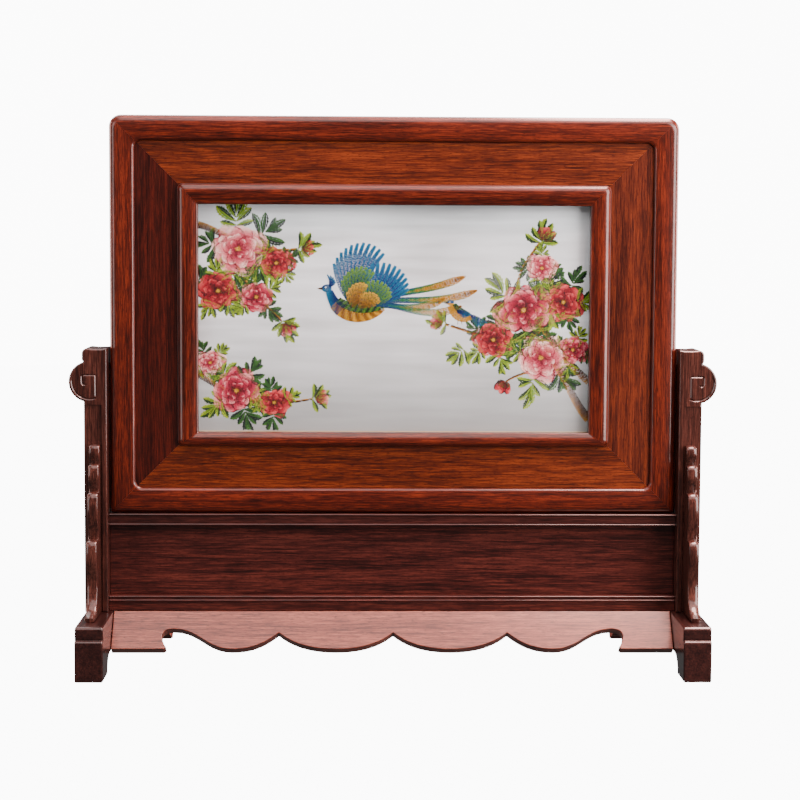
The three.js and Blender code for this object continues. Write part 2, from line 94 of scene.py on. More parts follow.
camera = make_camera()
print(f"camera lens {camera.data.lens:.1f} mm, shift {camera.data.shift_y:.3f}")

# %% [markdown]
# ## Tools for meshes and nodes
# Nearly every mesh here is a skin over closed loops of points: a board is two loops, a rounded board
# is several, a moulding is one section after another. So one helper skins loops. Another adds a node
# with its settings, and with values or links on its inputs. Colours are written as sRGB hex values,
# which Blender needs as linear light.

# %% Define the mesh and node helpers
def hex_colour(code):
    """Turns an sRGB hex value into Blender's linear colour."""
    channels = [int(code[i:i + 2], 16) / 255 for i in (0, 2, 4)]
    linear = [c / 12.92 if c <= 0.04045 else ((c + 0.055) / 1.055) ** 2.4 for c in channels]
    return (*linear, 1.0)


def mesh_object(name, points, faces, smooth=False):
    """Makes an object from points in millimetres and lists of point numbers."""
    mesh = bpy.data.meshes.new(name)
    mesh.from_pydata([Vector(p) * MM for p in points], [], faces)
    mesh.validate()
    if smooth:
        mesh.shade_smooth()
    return add_object(name, mesh)


def skinned(name, loops, caps=2, smooth=False):
    """Skins closed loops with equally many points, and caps the first loop and the last."""
    n = len(loops[0])
    points = [point for loop in loops for point in loop]
    ends = [tuple(range(n)), tuple(range(len(points) - 1, len(points) - n - 1, -1))]
    sides = [(k * n + i, k * n + (i + 1) % n, (k + 1) * n + (i + 1) % n, (k + 1) * n + i)
             for k in range(len(loops) - 1) for i in range(n)]
    return mesh_object(name, points, ends[:caps] + sides, smooth)


def arc(cx, cz, radius, start, end, steps=12):
    """Points on an arc, from one angle to another in degrees."""
    turns = [math.radians(start + (end - start) * i / steps) for i in range(steps + 1)]
    return [(cx + radius * math.cos(a), cz + radius * math.sin(a)) for a in turns]


def set_inputs(node, values):
    """Sets a node's inputs to values, or links them to other nodes' outputs."""
    for key, value in values.items():
        if isinstance(value, bpy.types.NodeSocket):
            node.id_data.links.new(value, node.inputs[key])
        else:
            node.inputs[key].default_value = value
    return node


def add_node(tree, kind, inputs=None, **settings):
    """Adds a node, with settings, and with values or links on its inputs."""
    made = tree.nodes.new(kind)
    for key, value in settings.items():
        setattr(made, key, value)
    return set_inputs(made, inputs or {})


def start_material(name):
    """A new material, with its node tree and its shader."""
    material = bpy.data.materials.new(name)
    material.use_nodes = True
    return material, material.node_tree, material.node_tree.nodes["Principled BSDF"]


def set_stops(ramp, places, tones):
    """Gives a colour ramp its stops, from their places and their hex values."""
    stops = ramp.color_ramp.elements
    while len(stops) < len(tones):
        stops.new(0.5)
    for stop, place, tone in zip(stops, places, tones):
        stop.position = place
        stop.color = hex_colour(tone)


print("middle grey in linear light:", hex_colour("808080"))

# %% [markdown]
# ## Studio
# The photograph has a plain white ground. A round cove of white card does that from every side: a
# floor that curves up into a wall. It glows a little and is kept out of reflections, so that it stays
# white and doesn't veil the dark wood. Wide softboxes hang overhead in front and behind, where the
# sloping aprons and rounded arrises mirror them, with a rose-tinted strip between. Upright softboxes
# stand at the sides: two in front, the right one stronger, and two behind that edge the mouldings.

# %% Make the cove
COVE_FLOOR = 4200
COVE_BEND = 900
COVE_WALL = 4500
COVE_SIDES = 72
COVE_GLOW = 11.0
CARD_WHITE = "F4F4F3"
PURE_WHITE = "FFFFFF"


def white_card():
    """Matt white card, lit so that it shows as the photograph's white ground."""
    card, _, shader = start_material("matt white card")
    set_inputs(shader, {"Base Color": hex_colour(CARD_WHITE), "Roughness": 0.9, "Specular IOR Level": 0.1,
                        "Emission Color": hex_colour(PURE_WHITE), "Emission Strength": COVE_GLOW})
    return card


def make_cove():
    """A level round floor that curves up into a wall all round."""
    profile = arc(COVE_FLOOR, COVE_BEND, COVE_BEND, -90, 0) + [(COVE_FLOOR + COVE_BEND, COVE_WALL)]
    turns = [math.tau * i / COVE_SIDES for i in range(COVE_SIDES)]
    loops = [[(radius * math.cos(a), radius * math.sin(a), z) for a in turns] for radius, z in profile]
    cove = skinned("paper_cove", loops, caps=1, smooth=True)
    cove.visible_glossy = False
    cove.visible_diffuse = False
    cove.data.materials.append(white_card())
    return cove


cove = make_cove()
print("cove:", len(cove.data.polygons), "faces")

# %% Hang the lights
WARM_WHITE = "FFF8F6"
ROSE_WHITE = "FFCFC4"
WORLD_GLOW = 0.12
SOFTBOXES = (
    ("front_overhead_softbox", (0.2, -0.85, 1.7), (0, -0.05, 0.05), 2.4, 1.9, 57, WARM_WHITE),
    ("rear_overhead_softbox", (-0.2, 0.95, 1.7), (0, 0.05, 0.05), 2.4, 1.3, 40, WARM_WHITE),
    ("top_strip", (0.5, 0.02, 1.6), (0.1, 0, 0.4), 1.4, 0.5, 115, ROSE_WHITE),
    ("right_softbox", (1.2, -0.85, 0.6), (0, 0, 0.3), 0.8, 1.2, 46, WARM_WHITE),
    ("left_softbox", (-1.2, -0.85, 0.6), (0, 0, 0.3), 0.5, 1.2, 9, WARM_WHITE),
    ("right_rim_softbox", (1.3, 0.45, 0.5), (0, 0, 0.3), 0.6, 1.1, 38, ROSE_WHITE),
    ("left_rim_softbox", (-1.3, 0.45, 0.5), (0, 0, 0.3), 0.6, 1.1, 22, ROSE_WHITE),
)


def make_softbox(name, place, target, width, height, power, colour):
    data = bpy.data.lights.new(name, "AREA")
    data.shape = "RECTANGLE"
    data.size = width
    data.size_y = height
    data.energy = power
    data.color = hex_colour(colour)[:3]
    lamp = add_object(name, data)
    lamp.location = place
    lamp.rotation_euler = (Vector(target) - Vector(place)).to_track_quat("-Z", "Y").to_euler()


for softbox in SOFTBOXES:
    make_softbox(*softbox)
world = bpy.data.worlds.new("studio")
world.use_nodes = True
set_inputs(world.node_tree.nodes["Background"], {"Color": hex_colour(PURE_WHITE), "Strength": WORLD_GLOW})
bpy.context.scene.world = world
print("lights:", [softbox[0] for softbox in SOFTBOXES])

# %% [markdown]
# ## Rosewood
# The wood is an Asian rosewood, planed, scraped and rubbed with oil and wax until it shines. Its
# colour runs in bands a centimetre or so wide with darker lines in them, made of fine fibres, and dark
# open pores lie along the grain. Real fibres and pores are about a tenth of a millimetre wide, which
# is far too fine to show here, so both are drawn several times coarser. A clear coat over a half-gloss
# base with a reddish sheen gives the soft reflections on the mouldings. Each board gets its own tint
# and its own stretch of grain.

# %% Define the wood
BAND_WIDTH = 11 * MM
LINE_WIDTH = 1.9 * MM
FIBRE_WIDTH = 0.8 * MM
PORE_WIDTH = 0.5 * MM
PORE_LENGTH = 6 * MM
PORE_DARK = "1C0604"
SHEEN_RED = "E89080"
FIGURE_STOPS = (0.41, 0.5, 0.6)
RELIEF = 0.02 * MM
GRAIN_TURN = {"x": (0, 0, 0), "y": (0, 0, -math.pi / 2), "z": (0, math.pi / 2, 0)}


def drawn_out(tree, place, size, detail, roughness=0.5, bend=0.0):
    """Noise whose spots have a given size along each axis."""
    scale = [1 / part for part in size]
    stretched = add_node(tree, "ShaderNodeMapping", {"Vector": place, "Scale": scale}).outputs["Vector"]
    noise = add_node(tree, "ShaderNodeTexNoise", {"Vector": stretched, "Scale": 1.0, "Detail": detail,
                                                  "Roughness": roughness, "Distortion": bend})
    return noise.outputs["Fac"]


def polished_rosewood(name, along, tones, shift, gloss=0.2):
    """Oiled and waxed rosewood, grained along x, y or z: dark red-brown, streaked, softly shining."""
    material, tree, shader = start_material(f"rosewood {name}")
    place = add_node(tree, "ShaderNodeTexCoord").outputs["Object"]
    turned = add_node(tree, "ShaderNodeMapping", {
        "Vector": place, "Location": (shift, 3.1 * shift, 7.7 * shift), "Rotation": GRAIN_TURN[along]})

    def grain(width, length, detail, bend=0.0):
        return drawn_out(tree, turned.outputs["Vector"], (length, width, width), detail, 0.6, bend)

    bands = grain(BAND_WIDTH, BAND_WIDTH * 16, 3.0, 0.3)
    lines = grain(LINE_WIDTH, LINE_WIDTH * 40, 2.0, 0.15)
    fibres = grain(FIBRE_WIDTH, FIBRE_WIDTH * 22, 2.0)
    pores = grain(PORE_WIDTH, PORE_LENGTH, 1.0)
    figure = add_node(tree, "ShaderNodeMix", {"Factor": 0.55, "A": bands, "B": lines}, data_type="FLOAT")
    figure = add_node(tree, "ShaderNodeMix", {"Factor": 0.45, "A": figure.outputs["Result"], "B": fibres},
                      data_type="FLOAT")
    ramp = add_node(tree, "ShaderNodeValToRGB", {"Fac": figure.outputs["Result"]})
    set_stops(ramp, FIGURE_STOPS, tones)
    pore_mask = add_node(tree, "ShaderNodeMapRange", {
        "Value": pores, "From Min": 0.42, "From Max": 0.33, "To Min": 0.0, "To Max": 0.8})
    pored = add_node(tree, "ShaderNodeMix", {
        0: pore_mask.outputs["Result"], 6: ramp.outputs["Color"], 7: hex_colour(PORE_DARK)},
        data_type="RGBA")
    relief = add_node(tree, "ShaderNodeMath", {0: fibres, 1: pore_mask.outputs["Result"]},
                      operation="SUBTRACT")
    bump = add_node(tree, "ShaderNodeBump", {"Height": relief.outputs["Value"], "Distance": RELIEF,
                                             "Strength": 0.6})
    dull = add_node(tree, "ShaderNodeMapRange", {"Value": bands, "From Min": 0.3, "From Max": 0.7,
                                                 "To Min": 0.32, "To Max": 0.46})
    set_inputs(shader, {
        "Base Color": pored.outputs[2], "Roughness": dull.outputs["Result"], "IOR": 1.5,
        "Normal": bump.outputs["Normal"], "Specular IOR Level": 0.3, "Specular Tint": hex_colour(SHEEN_RED),
        "Coat Weight": 0.8, "Coat Roughness": gloss})
    return material


print(f"pores drawn {PORE_WIDTH / MM:.1f} by {PORE_LENGTH / MM:.0f} mm")

# %% [markdown]
# The leaf's boards are redder and lighter than the stand, and the field board on the left is darker
# than its neighbours, as in the photograph. The aprons' tones are painted lighter and pinker, as painted
# light for the overhead sheen that their sloping faces mirror. Each wood has a dark, a middle and a light
# tone.

# %% Make each board's wood
LEAF_RED = ("220804", "46140A", "6A2410")
FIELD_WARM = ("2C0E06", "521E0D", "743012")
FIELD_RUSSET = ("260A06", "481A0C", "662812")
FIELD_DEEP = ("180403", "2E0B06", "46130A")
RAIL_BROWN = ("140808", "2A110F", "3E1B17")
WAIST_BROWN = ("1B0A09", "391613", "56251E")
FOOT_BROWN = ("120909", "261211", "3A1D19")
POST_BROWN = ("180B0A", "341914", "522C24")
# Painted light: the aprons' tones are lighter and pinker, for the overhead sheen on their sloping faces.
APRON_PAINTED_LIGHT = ("421A13", "6C3327", "8A4B3A")
STAND_GLOSS = 0.13

# Each wood has the boards it is for, the way its grain runs, its tones, its stretch and its gloss.
WOODS = {
    "frame_x": ("leaf rails", "x", LEAF_RED, 0.11),
    "frame_z": ("leaf stiles", "z", LEAF_RED, 0.47),
    "field_top": ("field top", "x", FIELD_WARM, 0.83),
    "field_bottom": ("field bottom", "x", FIELD_WARM, 1.91),
    "field_left": ("field left", "z", FIELD_DEEP, 2.37),
    "field_right": ("field right", "z", FIELD_RUSSET, 3.13),
    "bead_x": ("beads level", "x", LEAF_RED, 4.21),
    "bead_z": ("beads upright", "z", LEAF_RED, 5.07),
    "upper_rail": ("upper rail", "x", RAIL_BROWN, 6.61, STAND_GLOSS),
    "waist": ("waist and lower rail", "x", WAIST_BROWN, 6.97, STAND_GLOSS),
    "stand_y": ("feet", "y", FOOT_BROWN, 7.43, STAND_GLOSS),
    "stand_z": ("posts", "z", POST_BROWN, 8.29, STAND_GLOSS),
    # The aprons' wood carries painted light: lighter and pinker than the rest of the stand.
    "apron": ("aprons", "x", APRON_PAINTED_LIGHT, 9.53),
}
wood = {kind: polished_rosewood(*finish) for kind, finish in WOODS.items()}
print(len(wood), "woods")


def dress(node_name, material):
    """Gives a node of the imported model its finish."""
    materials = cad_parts[node_name].data.materials
    materials.clear()
    materials.append(material)


dress("waist_panel", wood["waist"])

# %% [markdown]
# ## Tools for the joinery
# Most pieces are boards that a maker would saw to an outline and then ease along the edges. So one
# helper runs an outline along an axis, and rounds its rims by stepping the outline inwards. Boolean
# modifiers do the sinking and carving, and the result is baked into a plain mesh. Points are in
# millimetres, and the model's boxes say where each piece lies.

# %% Draw outlines and run them along an axis
def quarter_turn(steps):
    """Angles from nothing to a right angle."""
    return [math.pi / 2 * i / steps for i in range(steps + 1)]


def bezier(a, b, c, d, steps=10):
    """Points on a cubic curve, without its first."""
    points = []
    for i in range(1, steps + 1):
        t = i / steps
        u = 1 - t
        points.append(tuple(u ** 3 * a[k] + 3 * u * u * t * b[k] + 3 * u * t * t * c[k] + t ** 3 * d[k]
                            for k in (0, 1)))
    return points


def anticlockwise(outline):
    area = sum(a[0] * b[1] - b[0] * a[1] for a, b in zip(outline, outline[1:] + outline[:1]))
    return outline if area > 0 else outline[::-1]


def drawn_in(outline, distance):
    """An anticlockwise outline moved inwards."""
    moved = []
    for i, (a, b) in enumerate(outline):
        before, after = outline[i - 1], outline[(i + 1) % len(outline)]
        one = Vector((a - before[0], b - before[1])).normalized()
        two = Vector((after[0] - a, after[1] - b)).normalized()
        inward = Vector((-one.y - two.y, one.x + two.x)).normalized()
        reach = distance / max(inward.dot(Vector((-one.y, one.x))), 0.6)
        moved.append((a + inward.x * reach, b + inward.y * reach))
    return moved


def outward(thing):
    """Merges doubled points and turns every face outwards."""
    work = bmesh.new()
    work.from_mesh(thing.data)
    bmesh.ops.remove_doubles(work, verts=work.verts, dist=1e-7)
    bmesh.ops.recalc_face_normals(work, faces=work.faces)
    work.to_mesh(thing.data)
    work.free()
    return thing


def prism(name, outline, axis, low, high, radius=0.0, depth=None, steps=4):
    """Runs (x, z) points along y, or (y, z) points along x. Rounded rims may be deeper than wide."""
    outline = anticlockwise(outline)
    layers = [(low, 0.0), (high, 0.0)]
    if radius:
        depth = depth or radius
        layers = [(low + depth * (1 - math.sin(a)), radius * (1 - math.cos(a)))
                  for a in reversed(quarter_turn(steps))]
        layers += [(high - depth * (1 - math.sin(a)), radius * (1 - math.cos(a)))
                   for a in quarter_turn(steps)]
    order = (lambda a, b, c: (a, c, b)) if axis == "y" else (lambda a, b, c: (c, a, b))
    return outward(skinned(name, [[order(a, b, c) for a, b in drawn_in(outline, inset)]
                                  for c, inset in layers]))


def slab(x0, x1, z0, z1, y0, y1):
    """A rectangular block, as a tool for cutting or joining."""
    return prism("tool", [(x0, z0), (x1, z0), (x1, z1), (x0, z1)], "y", y0, y1)


print("a half round has", len(arc(0, 0, 1, 0, 180)), "points")

# %% Cut, bake and settle a piece
EASED_ANGLE = math.radians(35)


def combine(thing, tool, operation="DIFFERENCE"):
    """Subtracts or joins another object, which is only a tool and is removed by bake."""
    change = thing.modifiers.new("tool", "BOOLEAN")
    change.operation = operation
    change.solver = "EXACT"
    change.object = tool


def plain_mesh(thing):
    """Puts the evaluated mesh in the place of the mesh and its modifiers."""
    graph = bpy.context.evaluated_depsgraph_get()
    mesh = bpy.data.meshes.new_from_object(thing.evaluated_get(graph))
    thing.modifiers.clear()
    thing.data = mesh


def bake(thing, tools=()):
    """Turns the piece and its modifiers into a plain mesh with flat faces and smooth rounds."""
    plain_mesh(thing)
    thing.data.shade_smooth()
    thing.data.set_sharp_from_angle(angle=EASED_ANGLE)
    weighted = thing.modifiers.new("flat faces win", "WEIGHTED_NORMAL")
    weighted.keep_sharp = True
    plain_mesh(thing)
    for tool in tools:
        bpy.data.objects.remove(tool)
    return thing


def settle(thing, material, body, *nodes):
    """Finishes a wooden piece: its material, its body and the nodes that it stands for."""
    thing.data.materials.clear()
    thing.data.materials.append(material)
    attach(thing, body)
    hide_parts(*nodes)
    print(f"{thing.name}: {len(thing.data.polygons)} faces")


def box_mm(node):
    """A node's lowest and highest corners in millimetres."""
    low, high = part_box(node)
    return Vector(low) / MM, Vector(high) / MM


print("left post from", *box_mm("left_post"))

# %% [markdown]
# ## The leaf's frame
# The outer frame is a moulding that runs round a rectangle and meets in mitres. Each stop of the
# moulding's section follows its own rectangle, and each side runs from the middle of one rounded
# corner to the middle of the next, so that the four sides meet on the mitre with a hairline between
# them. Each stile also has the tongue that slides in its post.

# %% Follow a rectangle from mitre to mitre
MITRE_GAP = 0.04
LEAF_HALF = 283.0
leaf_low = box_mm("leaf_bottom_rail")[0]
leaf_high = box_mm("leaf_top_rail")[1]
# A side has its first corner, its second corner and the angle at which it starts.
SIDE_CORNERS = {"top": ((1, 1), (-1, 1), 45), "bottom": ((-1, -1), (1, -1), 225),
                "left": ((-1, 1), (-1, -1), 135), "right": ((1, -1), (1, 1), -45)}
SIDE_GRAIN = {"top": "x", "bottom": "x", "left": "z", "right": "z"}


def leaf_inset(inset, upper, lower=None, foot=None):
    """The leaf's rectangle moved inwards, with its corner radii. Its foot may move by another amount."""
    return {"x0": inset - LEAF_HALF, "x1": LEAF_HALF - inset,
            "z0": leaf_low.z + (inset if foot is None else foot), "z1": leaf_high.z - inset,
            "upper": upper, "lower": upper if lower is None else lower}


def side_run(side, x0, x1, z0, z1, lower, upper, steps=8):
    """Points along one side of a rectangle with round corners, from mitre to mitre."""
    first, second, start = SIDE_CORNERS[side]
    points = []
    for (across, up), turn in ((first, start), (second, start + 45)):
        radius = upper if up > 0 else lower
        cx = x1 - radius if across > 0 else x0 + radius
        cz = z1 - radius if up > 0 else z0 + radius
        points += arc(cx, cz, radius, turn, turn + 45, steps)
    way = (points[-1][0] - points[0][0], points[-1][1] - points[0][1])
    step = [part / math.hypot(*way) * MITRE_GAP for part in way]
    points[0] = (points[0][0] + step[0], points[0][1] + step[1])
    points[-1] = (points[-1][0] - step[0], points[-1][1] - step[1])
    return points


def moulding(name, side, stops):
    """One mitred side of a moulding. Each stop is (y, rectangle)."""
    runs = [[(x, y, z) for x, z in side_run(side, **rectangle)] for y, rectangle in stops]
    return outward(skinned(name, list(zip(*runs))))


def both_faces(stops):
    """A section's stops from the front's outer edge inwards, and back out along the rear."""
    return [(inset, -y) for inset, y in stops] + [(inset, y) for inset, y in reversed(stops)]


print(f"leaf from {leaf_low.z:.1f} to {leaf_high.z:.1f} mm above the table")

# %% Make the outer frame
FRAME_FACE = 25.0
FRAME_HALF = 13.0
FRAME_ARRIS = 7.0
FRAME_LIP = 3.4
FRAME_CROWN = 1.4
GROOVE_FLOOR = 18.7
GROOVE_HALF = 4.15
OUTER_CORNER = 12.0
FOOT_CORNER = 1.0
SIGHT_CORNER = 8.0
SLIDE_ROOT = 282.5
SLIDE_FOOT = 3.0
SLIDE_TOP = 150.0
SLIDE_HALF = 3.0


def frame_swell(inset):
    """How far the swelling face stands out from the middle of the leaf."""
    middle = FRAME_FACE / 2
    return FRAME_HALF - FRAME_CROWN * ((inset - middle) / middle) ** 2


def frame_section():
    """The outer frame's stops: a rounded arris, a swelling face, a rounded lip and the groove."""
    lip = FRAME_FACE - FRAME_LIP
    front = arc(FRAME_ARRIS, frame_swell(FRAME_ARRIS) - FRAME_ARRIS, FRAME_ARRIS, 180, 96, 10)
    for i in range(1, 8):
        inset = FRAME_ARRIS + (lip - FRAME_ARRIS) * i / 8
        front.append((inset, frame_swell(inset)))
    front += arc(lip, frame_swell(lip) - FRAME_LIP, FRAME_LIP, 80, 0, 8)
    front += [(FRAME_FACE, GROOVE_HALF), (GROOVE_FLOOR, GROOVE_HALF)]
    section = []
    for inset, y in both_faces(front):
        share = inset / FRAME_FACE
        upper = OUTER_CORNER + (SIGHT_CORNER - OUTER_CORNER) * share
        lower = FOOT_CORNER + (SIGHT_CORNER - FOOT_CORNER) * share
        if inset == GROOVE_FLOOR:
            upper = lower = FOOT_CORNER
        section.append((y, leaf_inset(inset, upper, lower)))
    return section


def slide_tongue(node, side):
    """The tongue on a stile, from inside the stile to the node's outer end."""
    low, high = box_mm(node)
    root, end = (SLIDE_ROOT, high.x) if side == "right" else (-SLIDE_ROOT, low.x)
    return slab(root, end, low.z + SLIDE_FOOT, low.z + SLIDE_TOP, -SLIDE_HALF, SLIDE_HALF)


for side, along in SIDE_GRAIN.items():
    node = f"leaf_{side}_rail" if along == "x" else f"leaf_{side}_stile"
    member = moulding(f"frame_{side}", side, frame_section())
    tools = [slide_tongue(node, side)] if along == "z" else []
    for tool in tools:
        combine(member, tool, "UNION")
    settle(bake(member, tools), wood[f"frame_{along}"], "leaf", node)

# %% [markdown]
# ## Field boards and beads
# Four flat boards fill the frame, mitred like it, with a tongue in its groove. Beads then hold the
# panes against the picture, in front and behind: a quarter round outside, a face that falls gently
# inwards, and a tight round at the glass. The lower bead shows less than the others.

# %% Make the field boards
FIELD_SEAT = 25.1
FIELD_INNER = 75.3
FIELD_HALF = 8.0
FIELD_ARRIS = 0.3
FIELD_CORNER = 7.8
HIDDEN_CORNER = 3.0
TONGUE_HALF = 4.0
TONGUE_SEAT = 19.0

field_half = [(TONGUE_SEAT, TONGUE_HALF), (FIELD_SEAT, TONGUE_HALF), (FIELD_SEAT, FIELD_HALF - FIELD_ARRIS),
              (FIELD_SEAT + FIELD_ARRIS, FIELD_HALF), (FIELD_INNER, FIELD_HALF)]
field_section = [
    (y, leaf_inset(inset, FIELD_CORNER if FIELD_SEAT <= inset < FIELD_INNER else HIDDEN_CORNER))
    for inset, y in both_faces(field_half)]
for side in SIDE_GRAIN:
    board = bake(moulding(f"field_{side}", side, field_section))
    settle(board, wood[f"field_{side}"], "leaf", f"field_board_{side}")

# %% Make the beads that hold the panes
BEAD_FACE = 20.6
BEAD_FOOT = 14.0
BEAD_SEAT = 67.3
BEAD_LAP = 8.3
BEAD_BACK = 4.4
BEAD_BASE = 8.3
BEAD_CREST = 14.9
BEAD_FALL = 2.2
BEAD_EDGE = 1.8
BEAD_CORNER = 5.0
TIGHT_CORNER = 0.6
CREST_SHARE = 0.36
EDGE_SHARE = 0.9
BEAD_START = 0.12


def bead_section(turn):
    """A bead's stops, from its outer foot over the crest to the glass and back underneath."""
    rise = BEAD_CREST - BEAD_BASE
    stops = [(0.0, BEAD_BASE)]
    stops += [(CREST_SHARE * (1 - math.cos(a)),
               BEAD_BASE + rise * (BEAD_START + (1 - BEAD_START) * math.sin(a))) for a in quarter_turn(10)]
    for i in range(1, 9):
        t = i / 8
        stops.append((CREST_SHARE + (EDGE_SHARE - CREST_SHARE) * t, BEAD_CREST - BEAD_FALL * t * t))
    stops += [(EDGE_SHARE + (1 - EDGE_SHARE) * math.sin(a),
               BEAD_CREST - BEAD_FALL - BEAD_EDGE * (1 - math.cos(a))) for a in quarter_turn(6)[1:]]
    stops.append((1.0, BEAD_BACK))
    section = [(turn * y, leaf_inset(BEAD_SEAT + share * BEAD_FACE, BEAD_CORNER * (1 - share) + TIGHT_CORNER,
                                     foot=BEAD_SEAT + share * BEAD_FOOT)) for share, y in stops]
    return section + [(turn * y, leaf_inset(BEAD_SEAT + BEAD_LAP, TIGHT_CORNER))
                      for y in (BEAD_BACK, BEAD_BASE)]


for face, turn in (("front", -1), ("rear", 1)):
    for side, along in SIDE_GRAIN.items():
        bead = bake(moulding(f"{face}_moulding_{side}", side, bead_section(turn)))
        settle(bead, wood[f"bead_{along}"], "leaf", f"{face}_bead_{side}")

# %% [markdown]
# ## Posts with scrolled ears
# Each post is sawn from one plank with its ear. The front and back are sunk a little below the ear,
# all but a strip along the inner edge, and the scroll is drawn with a gouge: a hook inside and an arc
# that follows the rim. Boolean cuts do the same here, after the edges are rounded. The gouge lines
# are shallow, so that their sides mirror the light overhead and show as fine light lines.

# %% Draw the post and its gouge lines
POST_INNER = 284.5
POST_OUTER = 307.5
POST_HALF = 22.0
POST_FOOT = 53.6
POST_TOP = 317.3
POST_RIM = 1.8
EAR_CENTRE = (302.0, 284.1)
EAR_RADIUS = 20.4
EAR_FOOT = 261.3
HEAD_OUTER = 309.3
HEAD_ROUND = 5.2
GOUGE_HALF = 1.1
GOUGE_DEPTH = 0.8
GOUGE_FLOOR = 0.12
GOUGE_FLARE = 0.3


def post_outline():
    """From the foot up the outer edge, round the ear and over the head."""
    points = [(POST_INNER, POST_FOOT), (POST_OUTER, POST_FOOT)]
    points += arc(*EAR_CENTRE, EAR_RADIUS, -74.3, 72.6, 30)
    points += [(308.3, 304.4), (HEAD_OUTER, 306.0)]
    points += arc(HEAD_OUTER - HEAD_ROUND, POST_TOP - HEAD_ROUND, HEAD_ROUND, 0, 88, 8)
    points += [(298.0, POST_TOP - 0.7), (289.0, POST_TOP - 0.6), (POST_INNER, POST_TOP)]
    return points


def gouge_paths():
    """The hook inside the scroll, and the arc that follows its rim."""
    hook = [(295.4, 270.0)] + arc(296.9, 289.5, 1.5, 180, 90, 4) + arc(307.4, 289.4, 1.6, 90, 0, 4)
    hook += [(309.0, 284.9)] + arc(306.8, 283.4, 2.2, 0, -150, 8)
    return hook, arc(301.6, 284.2, 17.2, -112, 20, 20)


def ribbon(path, half):
    """The outline of a line drawn with a given half width."""
    sides = ([], [])
    for i, (x, z) in enumerate(path):
        ahead = path[min(i + 1, len(path) - 1)]
        behind = path[max(i - 1, 0)]
        dx, dz = ahead[0] - behind[0], ahead[1] - behind[1]
        length = math.hypot(dx, dz)
        for k, turn in ((0, 1), (1, -1)):
            sides[k].append((x - turn * dz / length * half, z + turn * dx / length * half))
    return sides[0] + sides[1][::-1]


def gouge_cutter(path, face, turn):
    """A groove with sloping sides: wide above the post's face and narrow at its depth."""
    above, below = face + turn * GOUGE_DEPTH * GOUGE_FLARE, face - turn * GOUGE_DEPTH
    wide = [(x, above, z) for x, z in ribbon(path, GOUGE_HALF * (1 + GOUGE_FLARE))]
    narrow = [(x, below, z) for x, z in ribbon(path, GOUGE_FLOOR)]
    return outward(skinned("tool", [wide, narrow]))


print("the post's outline has", len(post_outline()), "points")

# %% Make the posts
POST_STRIP = 5.0
POST_SUNK = 1.5
SLIDE_GROOVE = 4.5
SLIDE_GROOVE_HALF = 3.3
TOOL_SPARE = 1.0


def make_post(side, sign):
    def placed(points):
        return [(sign * x, z) for x, z in points]

    def hollow(x0, x1, z1, y0, y1):
        return slab(sign * x0, sign * x1, POST_FOOT - TOOL_SPARE, z1, y0, y1)

    post = prism(f"post_{side}", placed(post_outline()), "y", -POST_HALF, POST_HALF, POST_RIM)
    tools = [hollow(POST_INNER - TOOL_SPARE, POST_INNER + SLIDE_GROOVE, POST_TOP + TOOL_SPARE,
                    -SLIDE_GROOVE_HALF, SLIDE_GROOVE_HALF)]
    for turn in (-1, 1):
        face = turn * POST_HALF
        tools.append(hollow(POST_INNER + POST_STRIP, POST_OUTER + 2 * TOOL_SPARE, EAR_FOOT,
                            face - turn * POST_SUNK, face + turn * TOOL_SPARE))
        tools += [gouge_cutter(placed(path), face, turn) for path in gouge_paths()]
    for tool in tools:
        combine(post, tool)
    settle(bake(post, tools), wood["stand_z"], "stand", f"{side}_post")


make_post("left", -1)
make_post("right", 1)

# %% [markdown]
# ## Feet
# A foot is a beam with a stepped top edge at each end and a low arch between its two pads. It is
# sawn as a profile and eased all round.

# %% Make the feet
FOOT_HALF = 95.0
FOOT_HEIGHT = 53.3
FOOT_INNER = 280.0
FOOT_RIM = 1.8
LEDGE = FOOT_HEIGHT - 13.0
LEDGE_ROUND = 3.0
TOP_ROUND = 3.5
PAD_EDGE = FOOT_HALF - 35.0
ARCH = 17.0


def foot_outline():
    """From the arch over the pad, up to the ledge, and by a small quirk to the top edge."""
    half = arc(PAD_EDGE - ARCH, 0, ARCH, 90, 0, 10)
    half += [(FOOT_HALF, 0), (FOOT_HALF, LEDGE - LEDGE_ROUND)]
    half += arc(FOOT_HALF - LEDGE_ROUND, LEDGE - LEDGE_ROUND, LEDGE_ROUND, 10, 90, 6)
    half += [(FOOT_HALF - 3.2, LEDGE + 0.2), (FOOT_HALF - 3.1, LEDGE + 1.5), (FOOT_HALF - 2.5, LEDGE + 2.5)]
    half += arc(FOOT_HALF - 2.5 - TOP_ROUND, FOOT_HEIGHT - TOP_ROUND, TOP_ROUND, 0, 90, 6)
    return half + [(-y, z) for y, z in reversed(half)]


for side, low in (("left", -POST_OUTER), ("right", FOOT_INNER)):
    foot = prism(f"foot_{side}", foot_outline(), "x", low, low + POST_OUTER - FOOT_INNER, FOOT_RIM)
    settle(bake(foot), wood["stand_y"], "stand", f"{side}_foot")

# %% [markdown]
# ## Wings
# The standing spandrels step down from the post to the foot in four lobes, each with a small ledge
# above it. Seen from the front they are narrow, with edges rounded nearly to the middle, and the
# light catches each ledge. A wing is sawn as a profile too, and its rims are rounded deeper than wide.

# %% Make the wings
WING_HALF = 5.0
WING_HEIGHT = 169.0
WING_TOE = 51.0
WING_TOE_HEIGHT = 4
WING_BACK = 20.8
WING_RIM = 1.4
WING_RIM_DEPTH = 4.6
WING_MIDDLE = (POST_INNER + POST_OUTER) / 2
# A lobe has its reach at the foot, belly and head as shares of the toe, and its top and its bottom
# as shares of the height.
WING_LOBES = ((0.57, 0.7, 0.56, 0.455, 0.21), (0.4, 0.52, 0.38, 0.728, 0.455),
              (0.26, 0.36, 0.25, 0.888, 0.728), (0.16, 0.24, 0.12, 1.0, 0.888))


